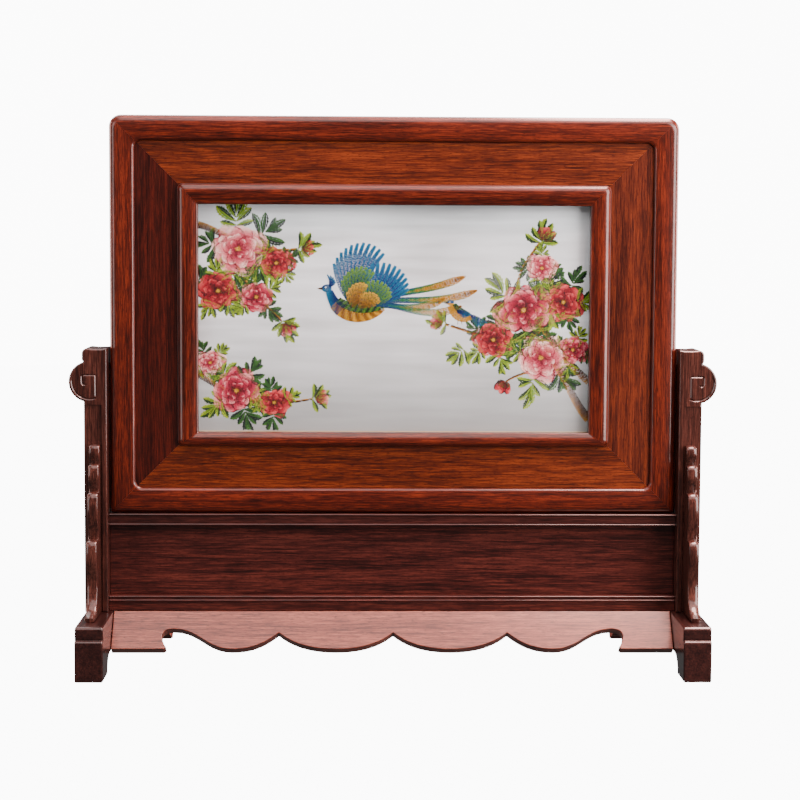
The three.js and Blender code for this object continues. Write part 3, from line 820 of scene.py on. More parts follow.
def wing_outline(turn):
    """The wing in front of a post (turn -1) or behind it (turn 1)."""
    toe = (WING_TOE, WING_TOE_HEIGHT)
    points = [(0, 0), (WING_TOE, 0), toe]
    points += bezier(toe, (WING_TOE * 0.7, 7), (WING_TOE * 0.59, 17), (WING_TOE * 0.57, WING_HEIGHT * 0.21))
    for foot, belly, head, high, low in WING_LOBES:
        z0, z1 = low * WING_HEIGHT, high * WING_HEIGHT
        rise = z1 - z0
        start = (foot * WING_TOE, z0)
        full = (belly * WING_TOE, z0 + rise * 0.55)
        if points[-1] != start:
            points.append(start)
        points += bezier(start, (start[0], z0 + rise * 0.2), (full[0], z0 + rise * 0.35), full, 6)
        points += bezier(full, (full[0], z0 + rise * 0.8), (full[0] - 0.6, z1), (head * WING_TOE, z1), 8)
    points.append((0, WING_HEIGHT))
    return [(turn * (WING_BACK + a), b + POST_FOOT) for a, b in points]


for face, turn in (("front", -1), ("rear", 1)):
    for side, middle in (("left", -WING_MIDDLE), ("right", WING_MIDDLE)):
        wing = prism(f"wing_{face}_{side}", wing_outline(turn), "x", middle - WING_HALF,
                     middle + WING_HALF, WING_RIM, WING_RIM_DEPTH, 6)
        settle(bake(wing), wood["stand_z"], "stand", f"{face}_{side}_wing")

# %% [markdown]
# ## Rails
# Both rails carry thin raised beads along their faces, worked with a scratch stock. The section is
# drawn once for the front, mirrored for the back, and run between the posts.

# %% Make the rails
RAIL_HALF = 14.0
RAIL_BEAD = 2.2
RAIL_BEAD_RISE = 1.3
RAIL_EDGE = 0.1
RAIL_CLEARANCE = 0.3
RAIL_END = POST_INNER - RAIL_CLEARANCE
LOWER_BEAD_DROP = 2.75 * RAIL_BEAD


def rail_section(foot, top, bead_feet):
    """The front face with its half-round beads, and the same behind."""
    front = [(-RAIL_HALF, foot)]
    for z in bead_feet:
        front += [(-RAIL_HALF - b * RAIL_BEAD_RISE, z + RAIL_BEAD / 2 * (1 + a))
                  for a, b in arc(0, 0, 1, 180, 0, 8)]
    front.append((-RAIL_HALF, top))
    return front + [(-y, z) for y, z in reversed(front)]


for level, tint in (("upper", "upper_rail"), ("lower", "waist")):
    low, high = box_mm(f"{level}_rail")
    second = low.z + 2 * RAIL_EDGE if level == "upper" else high.z - LOWER_BEAD_DROP
    section = rail_section(low.z, high.z, (second, high.z - RAIL_BEAD - RAIL_EDGE))
    rail = prism(f"rail_{level}", section, "x", -RAIL_END, RAIL_END)
    settle(bake(rail), wood[tint], "stand", f"{level}_rail")

# %% [markdown]
# ## Aprons
# A sloping apron hangs under the lower rail in front and behind. Its lower edge runs in four lobes
# between two hooked cuts, and its face leans out, so it mirrors the light overhead; its wood is also
# painted lighter, as painted light for that sheen. The board is drawn flat, leaned over, eased with a
# Bevel modifier and cut level under the rail.

# %% Make the aprons
APRON_THICK = 10.0
APRON_SLOPE = math.radians(38)
APRON_TOP = 53.3
APRON_DEPTH = 14.0
APRON_FOOT = -33.0 / math.cos(APRON_SLOPE)
APRON_END = FOOT_INNER - RAIL_CLEARANCE
APRON_EASE = 1.2
CUSP = APRON_FOOT + 18.0
PEAK = APRON_FOOT + 22.0
# Each curve of the lower edge, from the middle outwards, has its two handles and its end.
APRON_CURVES = (
    ((14, APRON_FOOT + 6), (32, APRON_FOOT), (57, APRON_FOOT)),
    ((82, APRON_FOOT), (100, APRON_FOOT + 6), (114, CUSP)),
    ((128, APRON_FOOT + 6), (140, APRON_FOOT), (160, APRON_FOOT)),
    ((186, APRON_FOOT), (193, PEAK), (219, PEAK)),
    ((227, PEAK), (231.5, PEAK - 4), (229.5, APRON_FOOT + 12)),
    ((228.8, APRON_FOOT + 8), (227, APRON_FOOT + 4), (225, APRON_FOOT + 2)),
)


def apron_outline():
    """The lower edge from the middle to the end, and the same on the other side."""
    half = [(0, CUSP)]
    for one, two, end in APRON_CURVES:
        half += bezier(half[-1], one, two, end)
    half += [(227.5, APRON_FOOT), (APRON_END, APRON_FOOT), (APRON_END, 0)]
    return [(-x, z) for x, z in half[:0:-1]] + half


def make_apron(face, turn):
    board = prism(f"apron_{face}", apron_outline(), "y", 0, APRON_THICK)
    place = Matrix.Translation(Vector((0, -APRON_DEPTH, APRON_TOP)) * MM)
    board.data.transform(place @ Matrix.Rotation(-APRON_SLOPE, 4, "X"))
    if turn > 0:
        board.data.transform(Matrix.Scale(-1, 4, (0, 1, 0)))
        outward(board)
    bevel = board.modifiers.new("eased edges", "BEVEL")
    bevel.width = APRON_EASE * MM
    bevel.segments = 3
    bevel.limit_method = "ANGLE"
    bevel.angle_limit = EASED_ANGLE
    bevel.harden_normals = False
    above = slab(-400, 400, APRON_TOP, 90, -60, 60)
    combine(board, above)
    settle(bake(board, [above]), wood["apron"], "stand", f"{face}_apron")


make_apron("front", -1)
make_apron("rear", 1)

# %% [markdown]
# ## The silk
# The picture is worked on a sheer silk gauze, stretched flat between the slips. It is a thin sheet with
# a faint ripple that a hand can't quite pull out, pale grey and soft. Long level streaks of sheen
# come from the weft; the material paints them into the colour as painted sheen, stretched along X,
# about a centimetre high, over wider clouds. Painted shade greys the silk from its middle down to its
# foot. The threads themselves are a few to the millimetre, too fine to show, and are left out.

# %% Make the silk gauze
SILK_THICK = 0.12
SILK_STEP = 4.0
SILK_RIPPLE = 0.05
SILK_TONES = ("CDD1D4", "F6FBFF")
# The grey that the painted shade mixes into the silk towards its foot.
SILK_PAINTED_SHADE = "868987"
# The size of the painted sheen streaks along the weft, and of the wider clouds.
STREAK_LENGTH, STREAK_HEIGHT = 111 * MM, 10.5 * MM
CLOUD_LENGTH, CLOUD_HEIGHT = 143 * MM, 62.5 * MM
silk_low, silk_high = box_mm("embroidered_silk")
silk_span = silk_high - silk_low
silk_middle = (silk_low.z + silk_high.z) / 2


def silk_gauze():
    """Plain-weave silk gauze: pale, soft, with painted sheen streaks along the weft and painted shade at its
    foot.
    """
    material, tree, shader = start_material("silk gauze")
    place = add_node(tree, "ShaderNodeTexCoord").outputs["Object"]
    # Painted sheen: level streaks along the weft, drawn into the base colour.
    painted_sheen_streaks = drawn_out(tree, place, (STREAK_LENGTH, 1, STREAK_HEIGHT), 3.0)
    clouds = drawn_out(tree, place, (CLOUD_LENGTH, 1, CLOUD_HEIGHT), 2.0)
    both = add_node(tree, "ShaderNodeMix", {"Factor": 0.5, "A": painted_sheen_streaks, "B": clouds}, data_type="FLOAT")
    ramp = add_node(tree, "ShaderNodeValToRGB", {"Fac": both.outputs["Result"]})
    set_stops(ramp, (0.36, 0.62), SILK_TONES)
    # Painted shade: from the middle down, the silk is mixed towards a darker grey at its foot.
    height = add_node(tree, "ShaderNodeSeparateXYZ", {"Vector": place}).outputs["Z"]
    foot_painted_shade = add_node(tree, "ShaderNodeMapRange", {
        "Value": height, "From Min": silk_low.z * MM, "From Max": silk_middle * MM, "To Min": 0.9,
        "To Max": 0.0})
    shaded_silk_tone = add_node(tree, "ShaderNodeMix", {
        0: foot_painted_shade.outputs["Result"], 6: ramp.outputs["Color"], 7: hex_colour(SILK_PAINTED_SHADE)}, data_type="RGBA")
    set_inputs(shader, {"Base Color": shaded_silk_tone.outputs[2], "Roughness": 0.55, "Sheen Weight": 0.25,
                        "Sheen Roughness": 0.4})
    return material


def make_silk():
    """Small squares in front and behind, closed round the edge."""
    wide, tall = int(silk_span.x / SILK_STEP), int(silk_span.z / SILK_STEP)
    row, layer = wide + 1, (wide + 1) * (tall + 1)
    points = []
    for face in (-1, 1):
        for j in range(tall + 1):
            z = silk_low.z + silk_span.z * j / tall
            for i in range(wide + 1):
                x = silk_low.x + silk_span.x * i / wide
                ripple = SILK_RIPPLE * math.sin(x / 31 + 0.8 * math.sin(z / 27)) * math.sin(z / 19)
                points.append((x, ripple + face * SILK_THICK / 2, z))
    faces = []
    for a in (j * row + i for j in range(tall) for i in range(wide)):
        faces.append((a, a + 1, a + 1 + row, a + row))
        faces.append((a + layer, a + row + layer, a + 1 + row + layer, a + 1 + layer))
    rim = list(range(wide)) + [j * row + wide for j in range(tall)]
    rim += [tall * row + i for i in range(wide, 0, -1)] + [j * row for j in range(tall, 0, -1)]
    faces += [(a, b, b + layer, a + layer) for a, b in zip(rim, rim[1:] + rim[:1])]
    silk = outward(mesh_object("silk_ground", points, faces, smooth=True))
    silk.data.set_sharp_from_angle(angle=EASED_ANGLE)
    return silk


silk = make_silk()
silk.data.materials.append(silk_gauze())
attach(silk, "leaf")
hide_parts("embroidered_silk")

# %% [markdown]
# ## Stitches
# Two-sided embroidery is worked so that front and back look alike. Every stitch is a short length of
# floss, flat and pointed at both ends. The picture is planned as bands: a spine, a width and a run of
# colour. Threads are laid along each band in staggered rows, which embroiderers call long-and-short
# stitch. Each stitch is kept as one point with a turn, a size and a colour, and a Geometry Nodes tree
# puts the floss on the points.

# %% Plan stitches on bands
THREAD = 0.82
STITCH = 4.6
SHORTEST_STITCH = 0.3
FLOSS_OVERLAP = 1.25
SHADE_SPREAD = 0.13
EDGE_X, EDGE_Z = 198.0, 116.0


def held(t):
    """A number kept between 0 and 1."""
    return min(max(t, 0.0), 1.0)


def mix(a, b, t):
    return tuple(x + (y - x) * held(t) for x, y in zip(a, b))


def shades(*codes):
    """Turns hex values into a function that blends through them as t goes from 0 to 1."""
    colours = [hex_colour(code)[:3] for code in codes]

    def at(t):
        t = held(t) * (len(colours) - 1)
        i = min(int(t), len(colours) - 2)
        return mix(colours[i], colours[i + 1], t - i)
    return at


def curve(a, b, c, d, steps=14):
    return [a] + bezier(a, b, c, d, steps)


def straight(x, z, turn, length, bend=0.0, steps=8):
    """A spine from a point, in a direction, that bends sideways by a share of its length."""
    ux, uz = math.cos(turn), math.sin(turn)
    side = bend * length
    one, two = ((x + ux * length * k / 3 - uz * side, z + uz * length * k / 3 + ux * side) for k in (1, 2))
    return curve((x, z), one, two, (x + ux * length, z + uz * length), steps)


class Work:
    """A part of the picture: its stitches, in the order of working."""

    def __init__(self, seed):
        self.places, self.turns, self.sizes, self.colours = [], [], [], []
        self.chance = random.Random(seed)

    def stitch(self, a, b, colour, lift=0.0, width=THREAD):
        dx, dz = b[0] - a[0], b[1] - a[1]
        length = math.hypot(dx, dz)
        beyond = max(abs(a[0]), abs(b[0])) > EDGE_X or max(abs(a[1]), abs(b[1])) > EDGE_Z
        if length < SHORTEST_STITCH or beyond:
            return
        light = 1 + self.chance.uniform(-SHADE_SPREAD, SHADE_SPREAD)
        self.places.append(((a[0] + b[0]) / 2, 0.0, (a[1] + b[1]) / 2 + silk_middle))
        self.turns.append((0.0, -math.atan2(dz, dx), 0.0))
        self.sizes.append((length * FLOSS_OVERLAP, 0.5 + 2 * lift, width * FLOSS_OVERLAP))
        self.colours.append(tuple(min(c * light, 1.0) for c in colour) + (1.0,))

    def band(self, spine, half_width, colour, lift=0.0, stitch=STITCH, thread=THREAD):
        """Fills a band. half_width(t) is in mm, and colour(t, c) has c from -1 to 1 across."""
        length = sum(math.dist(p, q) for p, q in zip(spine, spine[1:]))
        widest = max(half_width(i / 12) for i in range(13))
        columns = max(2, math.ceil(2 * widest / thread) + 1)
        last = len(spine) - 1

        def at(t, c):
            t = held(t) * last
            i = min(int(t), last - 1)
            (x0, z0), (x1, z1) = spine[i], spine[i + 1]
            run = math.dist(spine[i], spine[i + 1]) or 1.0
            nx, nz = -(z1 - z0) / run, (x1 - x0) / run
            reach = c * half_width(t / last)
            return (x0 + (x1 - x0) * (t - i) + nx * reach, z0 + (z1 - z0) * (t - i) + nz * reach)

        step = min(stitch / length, 1.0)
        for k in range(columns):
            c = -1 + 2 * k / (columns - 1)
            t = -step * (0.5 * (k % 2) + 0.3 * self.chance.random())
            while t < 1:
                t0, t1 = max(t, 0.0), min(t + step, 1.0)
                middle = (t0 + t1) / 2
                spacing = 2 * half_width(middle) / (columns - 1)
                every = max(1, int(thread * 0.8 / max(spacing, 0.01)))
                if t1 - t0 > step * 0.2 and k % every == 0:
                    self.stitch(at(t0, c), at(t1, c), colour(middle, c), lift, thread)
                t += step


print(f"a stitch is {STITCH} mm long and {THREAD} mm wide")

# %% [markdown]
# Flowers, leaves, branches and birds are all made of such bands. A petal is a short wide band that
# fans out from the heart, a leaf has two halves of slanting stitches beside a pale rib, and a
# feather is a long narrow band. The design is the maker's own: camellias, a long-tailed bird in
# flight and a small one on a twig. Sizes within each are shares of its length or radius.

# %% Define petals, leaves and branches
ROSE = shades("2C0008", "7C0420", "BC2A48", "EE9A98")
RED = shades("1C0006", "620410", "A41024", "DA5654")
BLUSH = shades("5A0418", "AC2844", "DE7078", "F8CFC4")
LEAF_LIGHT = shades("020E04", "123206", "4E7A0E", "B0C42C")
LEAF_DEEP = shades("010806", "041C16", "0E3E1A", "40701E")
BARK = shades("200E02", "6A3C06", "BE861A")
GOLD = shades("3A2002", "9A6204", "DEAA22")
# Each ring of a flower has its share of the radius, its number of petals and its lift.
PETAL_RINGS = ((1.0, 9, 0.0), (0.8, 8, 0.12), (0.58, 7, 0.24), (0.36, 5, 0.36))
STAMENS = 14
LEAF_ROW = 0.9
LEAF_SLANT = math.radians(34)
SPRAY_TURNS = (-1.35, 1.3, -0.9, 0.85, -0.42, 0.4, 0.0)


def ahead(x, z, turn, reach):
    """The point that lies this far away in this direction."""
    return (x + reach * math.cos(turn), z + reach * math.sin(turn))


def petal(work, x, z, turn, length, tones, lift, spread=0.46):
    full = length * spread * work.chance.uniform(0.85, 1.15)
    spine = straight(x, z, turn, length, work.chance.uniform(-0.1, 0.1))
    edge = work.chance.choice((-1, 1))
    ruffle = work.chance.uniform(0, math.tau)
    bright = work.chance.uniform(-0.1, 0.1)

    def half_width(t):
        body = 0.12 + 0.88 * math.sin(math.pi * min(t, 1.0) ** 0.75) ** 0.55
        return full * body * (1 + 0.09 * math.sin(14 * t + ruffle))

    def colour(t, c):
        crease = 0.22 * max(0.0, 1 - t * 1.5) * math.cos(c * 9 + ruffle)
        outline = 0.5 if c * edge < -0.78 and t > 0.12 else 0.0
        return tones(0.04 + 0.92 * t ** 1.2 + 0.18 * c * edge + bright - crease - outline)
    work.band(spine, half_width, colour, lift, stitch=3.8, thread=0.88)


def blossom(work, x, z, radius, tones, tilt=0.85):
    """A double flower: rings of petals from the outside in, then gold stamens."""
    for scale, count, lift in PETAL_RINGS:
        start = work.chance.uniform(0, math.tau)
        for k in range(count):
            turn = start + math.tau * k / count + work.chance.uniform(-0.16, 0.16)
            reach = radius * scale * work.chance.uniform(0.8, 1.12)
            reach *= math.hypot(math.cos(turn), tilt * math.sin(turn))
            petal(work, *ahead(x, z, turn, radius * 0.06), turn, reach, tones, lift)
    for k in range(STAMENS):
        turn = math.tau * k / STAMENS + work.chance.uniform(-0.15, 0.15)
        reach = radius * work.chance.uniform(0.1, 0.18)
        tip = (x + reach * math.cos(turn), z + reach * tilt * math.sin(turn))
        work.stitch((x, z), tip, GOLD(0.8), 0.5, 0.6)
        work.stitch(tip, (tip[0] + 1.0, tip[1] + 0.5), GOLD(0.2), 0.55, 0.9)


def leaf(work, x, z, turn, length, tones, plump=0.17):
    """A pointed leaf: two halves of slanting stitches, one in shade and one in light, and a rib."""
    spine = straight(x, z, turn, length, work.chance.uniform(-0.16, 0.16))
    last = len(spine) - 1
    rows = max(5, int(length / LEAF_ROW))
    full = length * plump / math.sin(LEAF_SLANT)
    shaded = work.chance.choice((-1, 1))
    for i in range(rows):
        t = (i + 0.5) / rows
        j = min(int(t * last), last - 1)
        here = mix(spine[j], spine[j + 1], t * last - j)
        way = math.atan2(spine[j + 1][1] - spine[j][1], spine[j + 1][0] - spine[j][0])
        reach = full * math.sin(math.pi * t ** 0.7) * (1.15 if i % 4 == 0 else 0.95)
        for side in (-1, 1):
            tip = ahead(*here, way + side * LEAF_SLANT, reach)
            half = mix(here, tip, 0.5)
            base = 0.1 if side == shaded else 0.6
            work.stitch(here, half, tones(base + 0.2 * t), 0.05, 1.0)
            work.stitch(half, tip, tones(base + 0.12 + 0.25 * t), 0.05, 1.0)
    work.band(spine, lambda t: 0.2, lambda t, c: tones(0.9), 0.12, thread=0.5)


def bud(work, x, z, turn, size, tones):
    """Three petals in three green leaves."""
    for k, offset in enumerate((-0.55, 0.55, 0.0)):
        petal(work, x, z, turn + offset, size, tones, 0.1 * k, 0.36)
    for offset in (-0.8, 0.8, 0.0):
        leaf(work, x, z, turn + offset, size * 0.55, LEAF_DEEP, 0.34)


def spray(work, x, z, turn, size, tones):
    """A twig's end with seven leaves."""
    for k, offset in enumerate(SPRAY_TURNS):
        foot = ahead(x, z, turn, size * 0.14 * (k // 2))
        leaf(work, *foot, turn + offset, size * work.chance.uniform(0.6, 0.95), tones)


def leaf_collar(work, x, z, radius, count):
    """Sprays that stand out from under a flower."""
    start = work.chance.uniform(0, math.tau)
    for k in range(count):
        turn = start + math.tau * k / count + work.chance.uniform(-0.25, 0.25)
        foot = ahead(x, z, turn, radius * work.chance.uniform(0.6, 0.85))
        spray(work, *foot, turn, radius * work.chance.uniform(0.7, 0.95), (LEAF_LIGHT, LEAF_DEEP)[k % 2])


def branch(work, points, thick, thin):
    work.band(curve(*points), lambda t: thick + (thin - thick) * t,
              lambda t, c: BARK(0.42 + 0.45 * c + 0.12 * math.sin(t * 40 + c * 2)), 0.05, stitch=5)


print("leaves are worked in rows", LEAF_ROW, "mm apart")

# %% Define the birds
BLUE = shades("010622", "02286A", "0A7498")
GREEN = shades("01160E", "064A18", "6E9A10")
TAIL = shades("064A18", "02286A", "0E6A2A", "B47C08", "4A2004")
EYE_RING = (0.9, 0.9, 0.85)
PUPIL = (0.004, 0.004, 0.006)
# Each row of a wing has its number of feathers, its share of the length, their width and colours.
WING_ROWS = ((11, 1.0, 2.5, BLUE, 0.1), (9, 0.62, 2.4, GREEN, 0.25), (7, 0.36, 2.4, GOLD, 0.4))
# Each tail feather ends this far above the bird's middle and this far behind it.
TAIL_ENDS = ((34, 112), (20, 124), (4, 108), (12, 92))


def feather(work, x, z, turn, length, width, tones, lift, bend=0.06):
    spine = straight(x, z, turn, length, bend)
    work.band(spine, lambda t: width * (0.35 + 0.65 * math.sin(math.pi * min(t * 0.9 + 0.08, 1.0)) ** 0.7),
              lambda t, c: tones(0.15 + 0.8 * t - (0.25 if abs(c) < 0.2 else 0.0)), lift, thread=0.62)


def wing(work, x, z, first, last, length, bend):
    """A spread wing: long flight feathers, then two shorter rows over their roots."""
    first, last = math.radians(first), math.radians(last)
    for count, share, width, tones, lift in WING_ROWS:
        for k in range(count):
            t = k / (count - 1)
            root = ahead(x, z, first, length * 0.1 * (1 - t))
            size = length * share * (0.62 + 0.38 * math.sin(math.pi * (0.25 + 0.6 * t)))
            feather(work, *root, first + (last - first) * t, size, width, tones, lift, bend)


def head(work, x, z, size, crown, throat):
    """A head that looks to the left, with its beak and its eye."""
    work.band(straight(x + size * 0.7, z, math.pi, size * 1.5),
              lambda t: size * 0.62 * math.sin(math.pi * (0.12 + 0.8 * t)) ** 0.6,
              lambda t, c: crown(0.6) if c < 0.2 else throat(0.8), 0.45, stitch=2.2, thread=0.6)
    work.band(straight(x - size * 0.72, z, math.pi, size * 0.85, 0.08), lambda t: size * 0.2 * (1.05 - t),
              lambda t, c: BARK(0.15 + 0.3 * c), 0.45, stitch=2.5, thread=0.5)
    for near, far, colour, lift, width in ((0.1, 0.42, EYE_RING, 0.6, 0.3), (0.16, 0.36, PUPIL, 0.7, 0.2)):
        level = z + size * 0.16
        work.stitch((x - size * near, level), (x - size * far, level), colour, lift, size * width)


def long_tailed_bird(work, x, z):
    """A bird in flight to the left, with its tail streaming behind."""
    for k, (rise, reach) in enumerate(TAIL_ENDS):
        spine = curve((x + 12, z + 2), (x + 40, z + 22 - 4 * k), (x + reach * 0.62, z + rise - 20),
                      (x + reach, z + rise))
        work.band(spine, lambda t: 3.4 * (0.55 + 0.6 * t) * min(1.0, (1.02 - t) * 9),
                  lambda t, c: TAIL((t * 0.9 + 0.12 * math.cos(c * 3) + 0.05 * math.sin(t * 70)) % 1.0),
                  0.02 * k, thread=0.66)
    wing(work, x + 5, z + 1, 22, 80, 54, -0.1)
    body = curve((x + 30, z + 1), (x + 12, z - 8), (x - 8, z - 5), (x - 19, z + 7))
    work.band(body, lambda t: 9.0 * math.sin(math.pi * (0.04 + 0.72 * t)) ** 0.8,
              lambda t, c: GOLD(0.5 + 0.3 * math.sin(t * 46 + c * 3) + 0.15 * c) if c > -0.1 else
              GREEN(0.4 + 0.4 * math.sin(t * 52 - c * 4)), 0.45, stitch=2.8, thread=0.62)
    wing(work, x + 1, z + 2, 62, 116, 62, 0.1)
    neck = curve((x - 13, z - 1), (x - 19, z + 4), (x - 22, z + 10), (x - 25, z + 18))
    work.band(neck, lambda t: 6.4 - 3.0 * t, lambda t, c: BLUE(0.35 + 0.45 * t + 0.25 * c), 0.6, stitch=2.4,
              thread=0.6)
    for k in range(5):
        feather(work, x - 25, z + 23, math.radians(100 - 16 * k), 12 - k, 0.7, BLUE, 0.5, -0.2)
    head(work, x - 27, z + 21, 6.2, BLUE, BLUE)


def small_bird(work, x, z):
    """A bird that sits and looks to the left."""
    for k in range(4):
        feather(work, x + 6, z - 2, math.radians(-25 - 7 * k), 24 - 2 * k, 1.5, BLUE, 0.1)
    body = curve((x + 11, z - 4), (x + 5, z - 6), (x - 4, z - 3), (x - 8, z + 7))
    work.band(body, lambda t: 6.4 * math.sin(math.pi * (0.12 + 0.7 * t)) ** 0.7,
              lambda t, c: GREEN(0.3 + 0.3 * math.sin(t * 40)) if c < -0.1 else GOLD(0.7), 0.3,
              stitch=2.4, thread=0.62)
    for k in range(4):
        feather(work, x - 3, z + 1, math.radians(-16 - 9 * k), 15 - 1.6 * k, 1.5, BLUE, 0.45)
    head(work, x - 9, z + 9, 4.2, BLUE, GOLD)
    for side in (-1, 1):
        work.stitch((x + side * 1.6, z - 8), (x + side * 2.2, z - 13), BARK(0.2), 0.2, 0.6)


print("a wing has", sum(row[0] for row in WING_ROWS), "feathers")

# %% [markdown]
# The picture is worked in five parts, so that each stays a light mesh: branches and leaves on the
# right and on the left, the flowers on either side, and the birds. A seed for each part keeps it the
# same on every run.

# %% Compose the picture
# A flower has its place, radius and colours. A branch has the four points of its curve and its half
# width at both ends. A twig and a bud have their place, their direction in degrees and their size.
RIGHT_FLOWERS = ((130, 6, 30, ROSE), (170, 14, 22, RED), (148, -42, 27, BLUSH), (100, -24, 21, RED),
                 (180, -34, 17, ROSE), (148, 48, 17, BLUSH))
LEFT_FLOWERS = ((-156, 66, 29, BLUSH), (-118, 52, 18, RED), (-176, 24, 22, RED), (-138, 18, 19, ROSE),
                (-158, -76, 25, ROSE), (-120, -88, 17, RED), (-184, -48, 15, BLUSH))
RIGHT_BRANCHES = ((((197, -104), (178, -84), (176, -60), (150, -34)), 4.0, 2.6),
                  (((146, -52), (134, -58), (124, -58), (113, -66)), 1.0, 0.6),
                  (((197, -66), (168, -44), (150, -8), (128, 14)), 3.6, 1.8),
                  (((150, -12), (120, -34), (90, -20), (50, -8)), 2.2, 0.9),
                  (((128, 14), (118, 36), (130, 52), (146, 74)), 1.8, 0.8))
LEFT_BRANCHES = ((((-196, 90), (-168, 84), (-150, 58), (-96, 66)), 3.2, 1.0),
                 (((-168, 80), (-160, 40), (-140, 20), (-112, -6)), 1.8, 0.8),
                 (((-196, -60), (-170, -74), (-150, -98), (-82, -84)), 2.6, 0.8))
RIGHT_TWIGS = ((52, -8, 170, 18), (146, 74, 75, 20), (70, -34, 215, 18))
LEFT_TWIGS = ((-96, 66, 10, 20), (-112, -6, 300, 19), (-82, -84, 10, 19))
RIGHT_BUDS = ((150, 76, 70, 14, RED), (48, -8, 165, 12, ROSE), (112, -66, 250, 13, RED))
LEFT_BUDS = ((-110, -8, -60, 14, ROSE), (-92, 66, 15, 12, RED), (-78, -84, 10, 13, ROSE))
LARGE_FLOWER = 20


def work_foliage(seed, branches, flowers, twigs):
    work = Work(seed)
    for points, thick, thin in branches:
        branch(work, points, thick, thin)
    for x, z, radius, _ in flowers:
        leaf_collar(work, x, z, radius, 5 if radius > LARGE_FLOWER else 4)
    for x, z, degrees, size in twigs:
        spray(work, x, z, math.radians(degrees), size, LEAF_LIGHT)
    return work


def work_flowers(seed, flowers, buds):
    work = Work(seed)
    for flower in flowers:
        blossom(work, *flower)
    for x, z, degrees, size, tones in buds:
        bud(work, x, z, math.radians(degrees), size, tones)
    return work


def work_birds(seed):
    work = Work(seed)
    long_tailed_bird(work, -40, 6)
    small_bird(work, 66, 4)
    return work


picture = {"foliage_right": work_foliage(11, RIGHT_BRANCHES, RIGHT_FLOWERS, RIGHT_TWIGS),
           "foliage_left": work_foliage(19, LEFT_BRANCHES, LEFT_FLOWERS, LEFT_TWIGS),
           "flowers_right": work_flowers(23, RIGHT_FLOWERS, RIGHT_BUDS),
           "flowers_left": work_flowers(37, LEFT_FLOWERS, LEFT_BUDS),
           "birds": work_birds(53)}
print({name: len(work.places) for name, work in picture.items()})

# %% [markdown]
# The floss itself is a small flat spindle with six corners, full in the middle. The Geometry Nodes
# tree reads each point's turn and size, puts a spindle there, makes the copies real and sets the
# material. The colour stays on the mesh as an attribute that the silk floss material reads.

# %% Grow floss on the planned points
SPINDLE_HALF, SPINDLE_SHOULDER = 0.5, 0.32


def floss_spindle():
    """One stitch of unit length, thickness and width."""
    rim = [(-SPINDLE_HALF, 0, 0), (-SPINDLE_SHOULDER, 0, -SPINDLE_HALF),
           (SPINDLE_SHOULDER, 0, -SPINDLE_HALF)]
    points = rim + [(-x, 0, -z) for x, _, z in rim] + [(0, -SPINDLE_HALF, 0), (0, SPINDLE_HALF, 0)]
    faces = [(i, (i + 1) % 6, 6) for i in range(6)] + [((i + 1) % 6, i, 7) for i in range(6)]
    mesh = bpy.data.meshes.new("floss")
    mesh.from_pydata(points, [], faces)
    mesh.shade_smooth()
    return outward(add_object("floss", mesh))


def silk_floss():
    """Untwisted silk thread: clear dyes, a soft lustre, and the colour that each stitch brings."""
    material, tree, shader = start_material("silk floss")
    dye = add_node(tree, "ShaderNodeAttribute", attribute_name="thread").outputs["Color"]
    set_inputs(shader, {"Base Color": dye, "Roughness": 0.42, "Specular IOR Level": 0.3,
                        "Sheen Weight": 0.06, "Sheen Roughness": 0.3})
    return material


def floss_tree():
    """Point mesh in, floss out. The inputs are the spindle, a scale for it and the material."""
    tree = bpy.data.node_groups.new("lay floss", "GeometryNodeTree")
    for name, kind in (("Points", "NodeSocketGeometry"), ("Spindle", "NodeSocketObject"),
                       ("Unit", "NodeSocketFloat"), ("Finish", "NodeSocketMaterial")):
        tree.interface.new_socket(name, in_out="INPUT", socket_type=kind)
    tree.interface.new_socket("Floss", in_out="OUTPUT", socket_type="NodeSocketGeometry")
    given = tree.nodes.new("NodeGroupInput").outputs
    turn, size = (add_node(tree, "GeometryNodeInputNamedAttribute", {"Name": name},
                           data_type="FLOAT_VECTOR").outputs["Attribute"] for name in ("turn", "size"))
    spin = add_node(tree, "FunctionNodeEulerToRotation", {0: turn})
    scaled = add_node(tree, "ShaderNodeVectorMath", {0: size, "Scale": given["Unit"]}, operation="SCALE")
    spindle = add_node(tree, "GeometryNodeObjectInfo", {"Object": given["Spindle"]})
    laid = add_node(tree, "GeometryNodeInstanceOnPoints", {
        "Points": given["Points"], "Instance": spindle.outputs["Geometry"], "Rotation": spin.outputs[0],
        "Scale": scaled.outputs["Vector"]})
    real = add_node(tree, "GeometryNodeRealizeInstances", {"Geometry": laid.outputs["Instances"]})
    finished = add_node(tree, "GeometryNodeSetMaterial", {
        "Geometry": real.outputs["Geometry"], "Material": given["Finish"]})
    add_node(tree, "NodeGroupOutput", {"Floss": finished.outputs["Geometry"]})
    return tree


spindle = floss_spindle()
floss = silk_floss()
tree = floss_tree()
identifiers = {item.name: item.identifier for item in tree.interface.items_tree if item.in_out == "INPUT"}


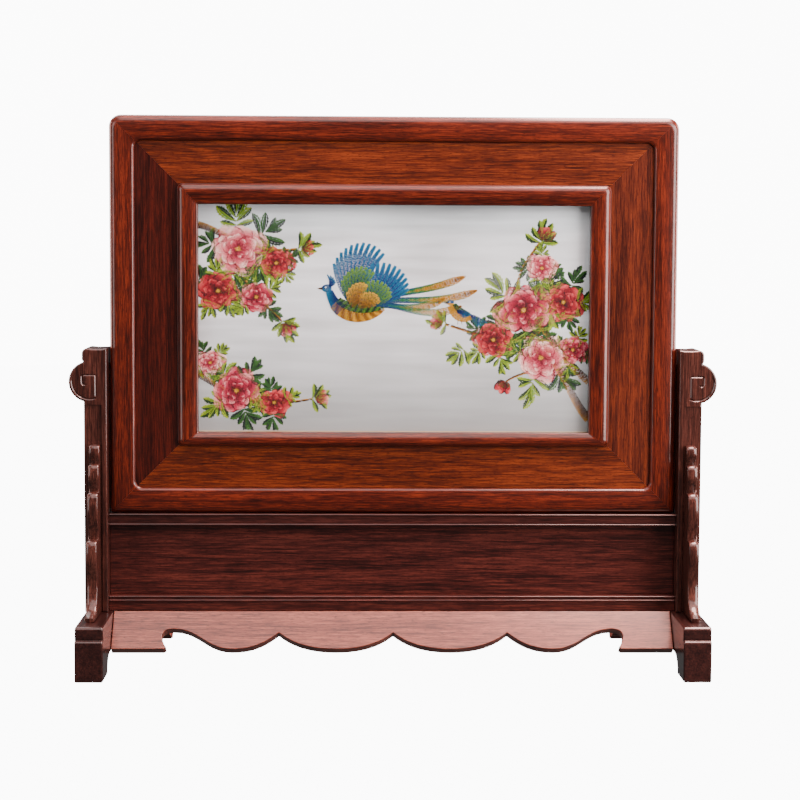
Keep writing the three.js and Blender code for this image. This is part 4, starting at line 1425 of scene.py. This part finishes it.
def lay_floss(name, work):
    points = mesh_object(name, work.places, [])
    for key, kind, field, values in (("turn", "FLOAT_VECTOR", "vector", work.turns),
                                     ("size", "FLOAT_VECTOR", "vector", work.sizes),
                                     ("thread", "FLOAT_COLOR", "color", work.colours)):
        attribute = points.data.attributes.new(key, kind, "POINT")
        attribute.data.foreach_set(field, [part for value in values for part in value])
    nodes = points.modifiers.new("lay floss", "NODES")
    nodes.node_group = tree
    for key, value in (("Spindle", spindle), ("Unit", MM), ("Finish", floss)):
        nodes[identifiers[key]] = value
    plain_mesh(points)
    points.data.materials.clear()
    points.data.materials.append(floss)
    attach(points, "leaf")
    print(f"{name}: {len(work.places)} stitches, {len(points.data.polygons)} faces")


for name, work in picture.items():
    lay_floss(f"stitched_{name}", work)
bpy.data.objects.remove(spindle)

# %% [markdown]
# ## Panes and slips
# The panes are clear float glass. They show as a faint film and a soft reflection, so the glass is a
# mostly transparent layer with a smooth surface. The slips are plain beech, hidden by the beads. Its
# fibres are drawn a millimetre wide, several times coarser than they are.

# %% Dress the panes and slips
BEECH_FIBRE_LENGTH, BEECH_FIBRE_WIDTH = 17 * MM, 1.1 * MM
BEECH_TONES = ("B8946A", "DCC29A")
GLASS_TINT = "0C100F"


def float_glass():
    """Clear sheet glass, drawn as a thin film: nearly all light passes, and the surface is smooth."""
    material, _, shader = start_material("float glass")
    set_inputs(shader, {"Base Color": hex_colour(GLASS_TINT), "Roughness": 0.04, "IOR": 1.5, "Alpha": 0.06})
    return material


def pale_beech():
    """Planed beech for the hidden slips: light, close-grained and matt."""
    material, tree, shader = start_material("beech slips")
    place = add_node(tree, "ShaderNodeTexCoord").outputs["Object"]
    fibres = drawn_out(tree, place, (BEECH_FIBRE_LENGTH, BEECH_FIBRE_WIDTH, BEECH_FIBRE_WIDTH), 3.0)
    ramp = add_node(tree, "ShaderNodeValToRGB", {"Fac": fibres})
    set_stops(ramp, (0.0, 1.0), BEECH_TONES)
    set_inputs(shader, {"Base Color": ramp.outputs["Color"], "Roughness": 0.6})
    return material


glass, beech = float_glass(), pale_beech()
for face in ("front", "rear"):
    dress(f"{face}_pane", glass)
    for side in SIDE_GRAIN:
        dress(f"{face}_slip_{side}", beech)
print("panes and slips dressed")
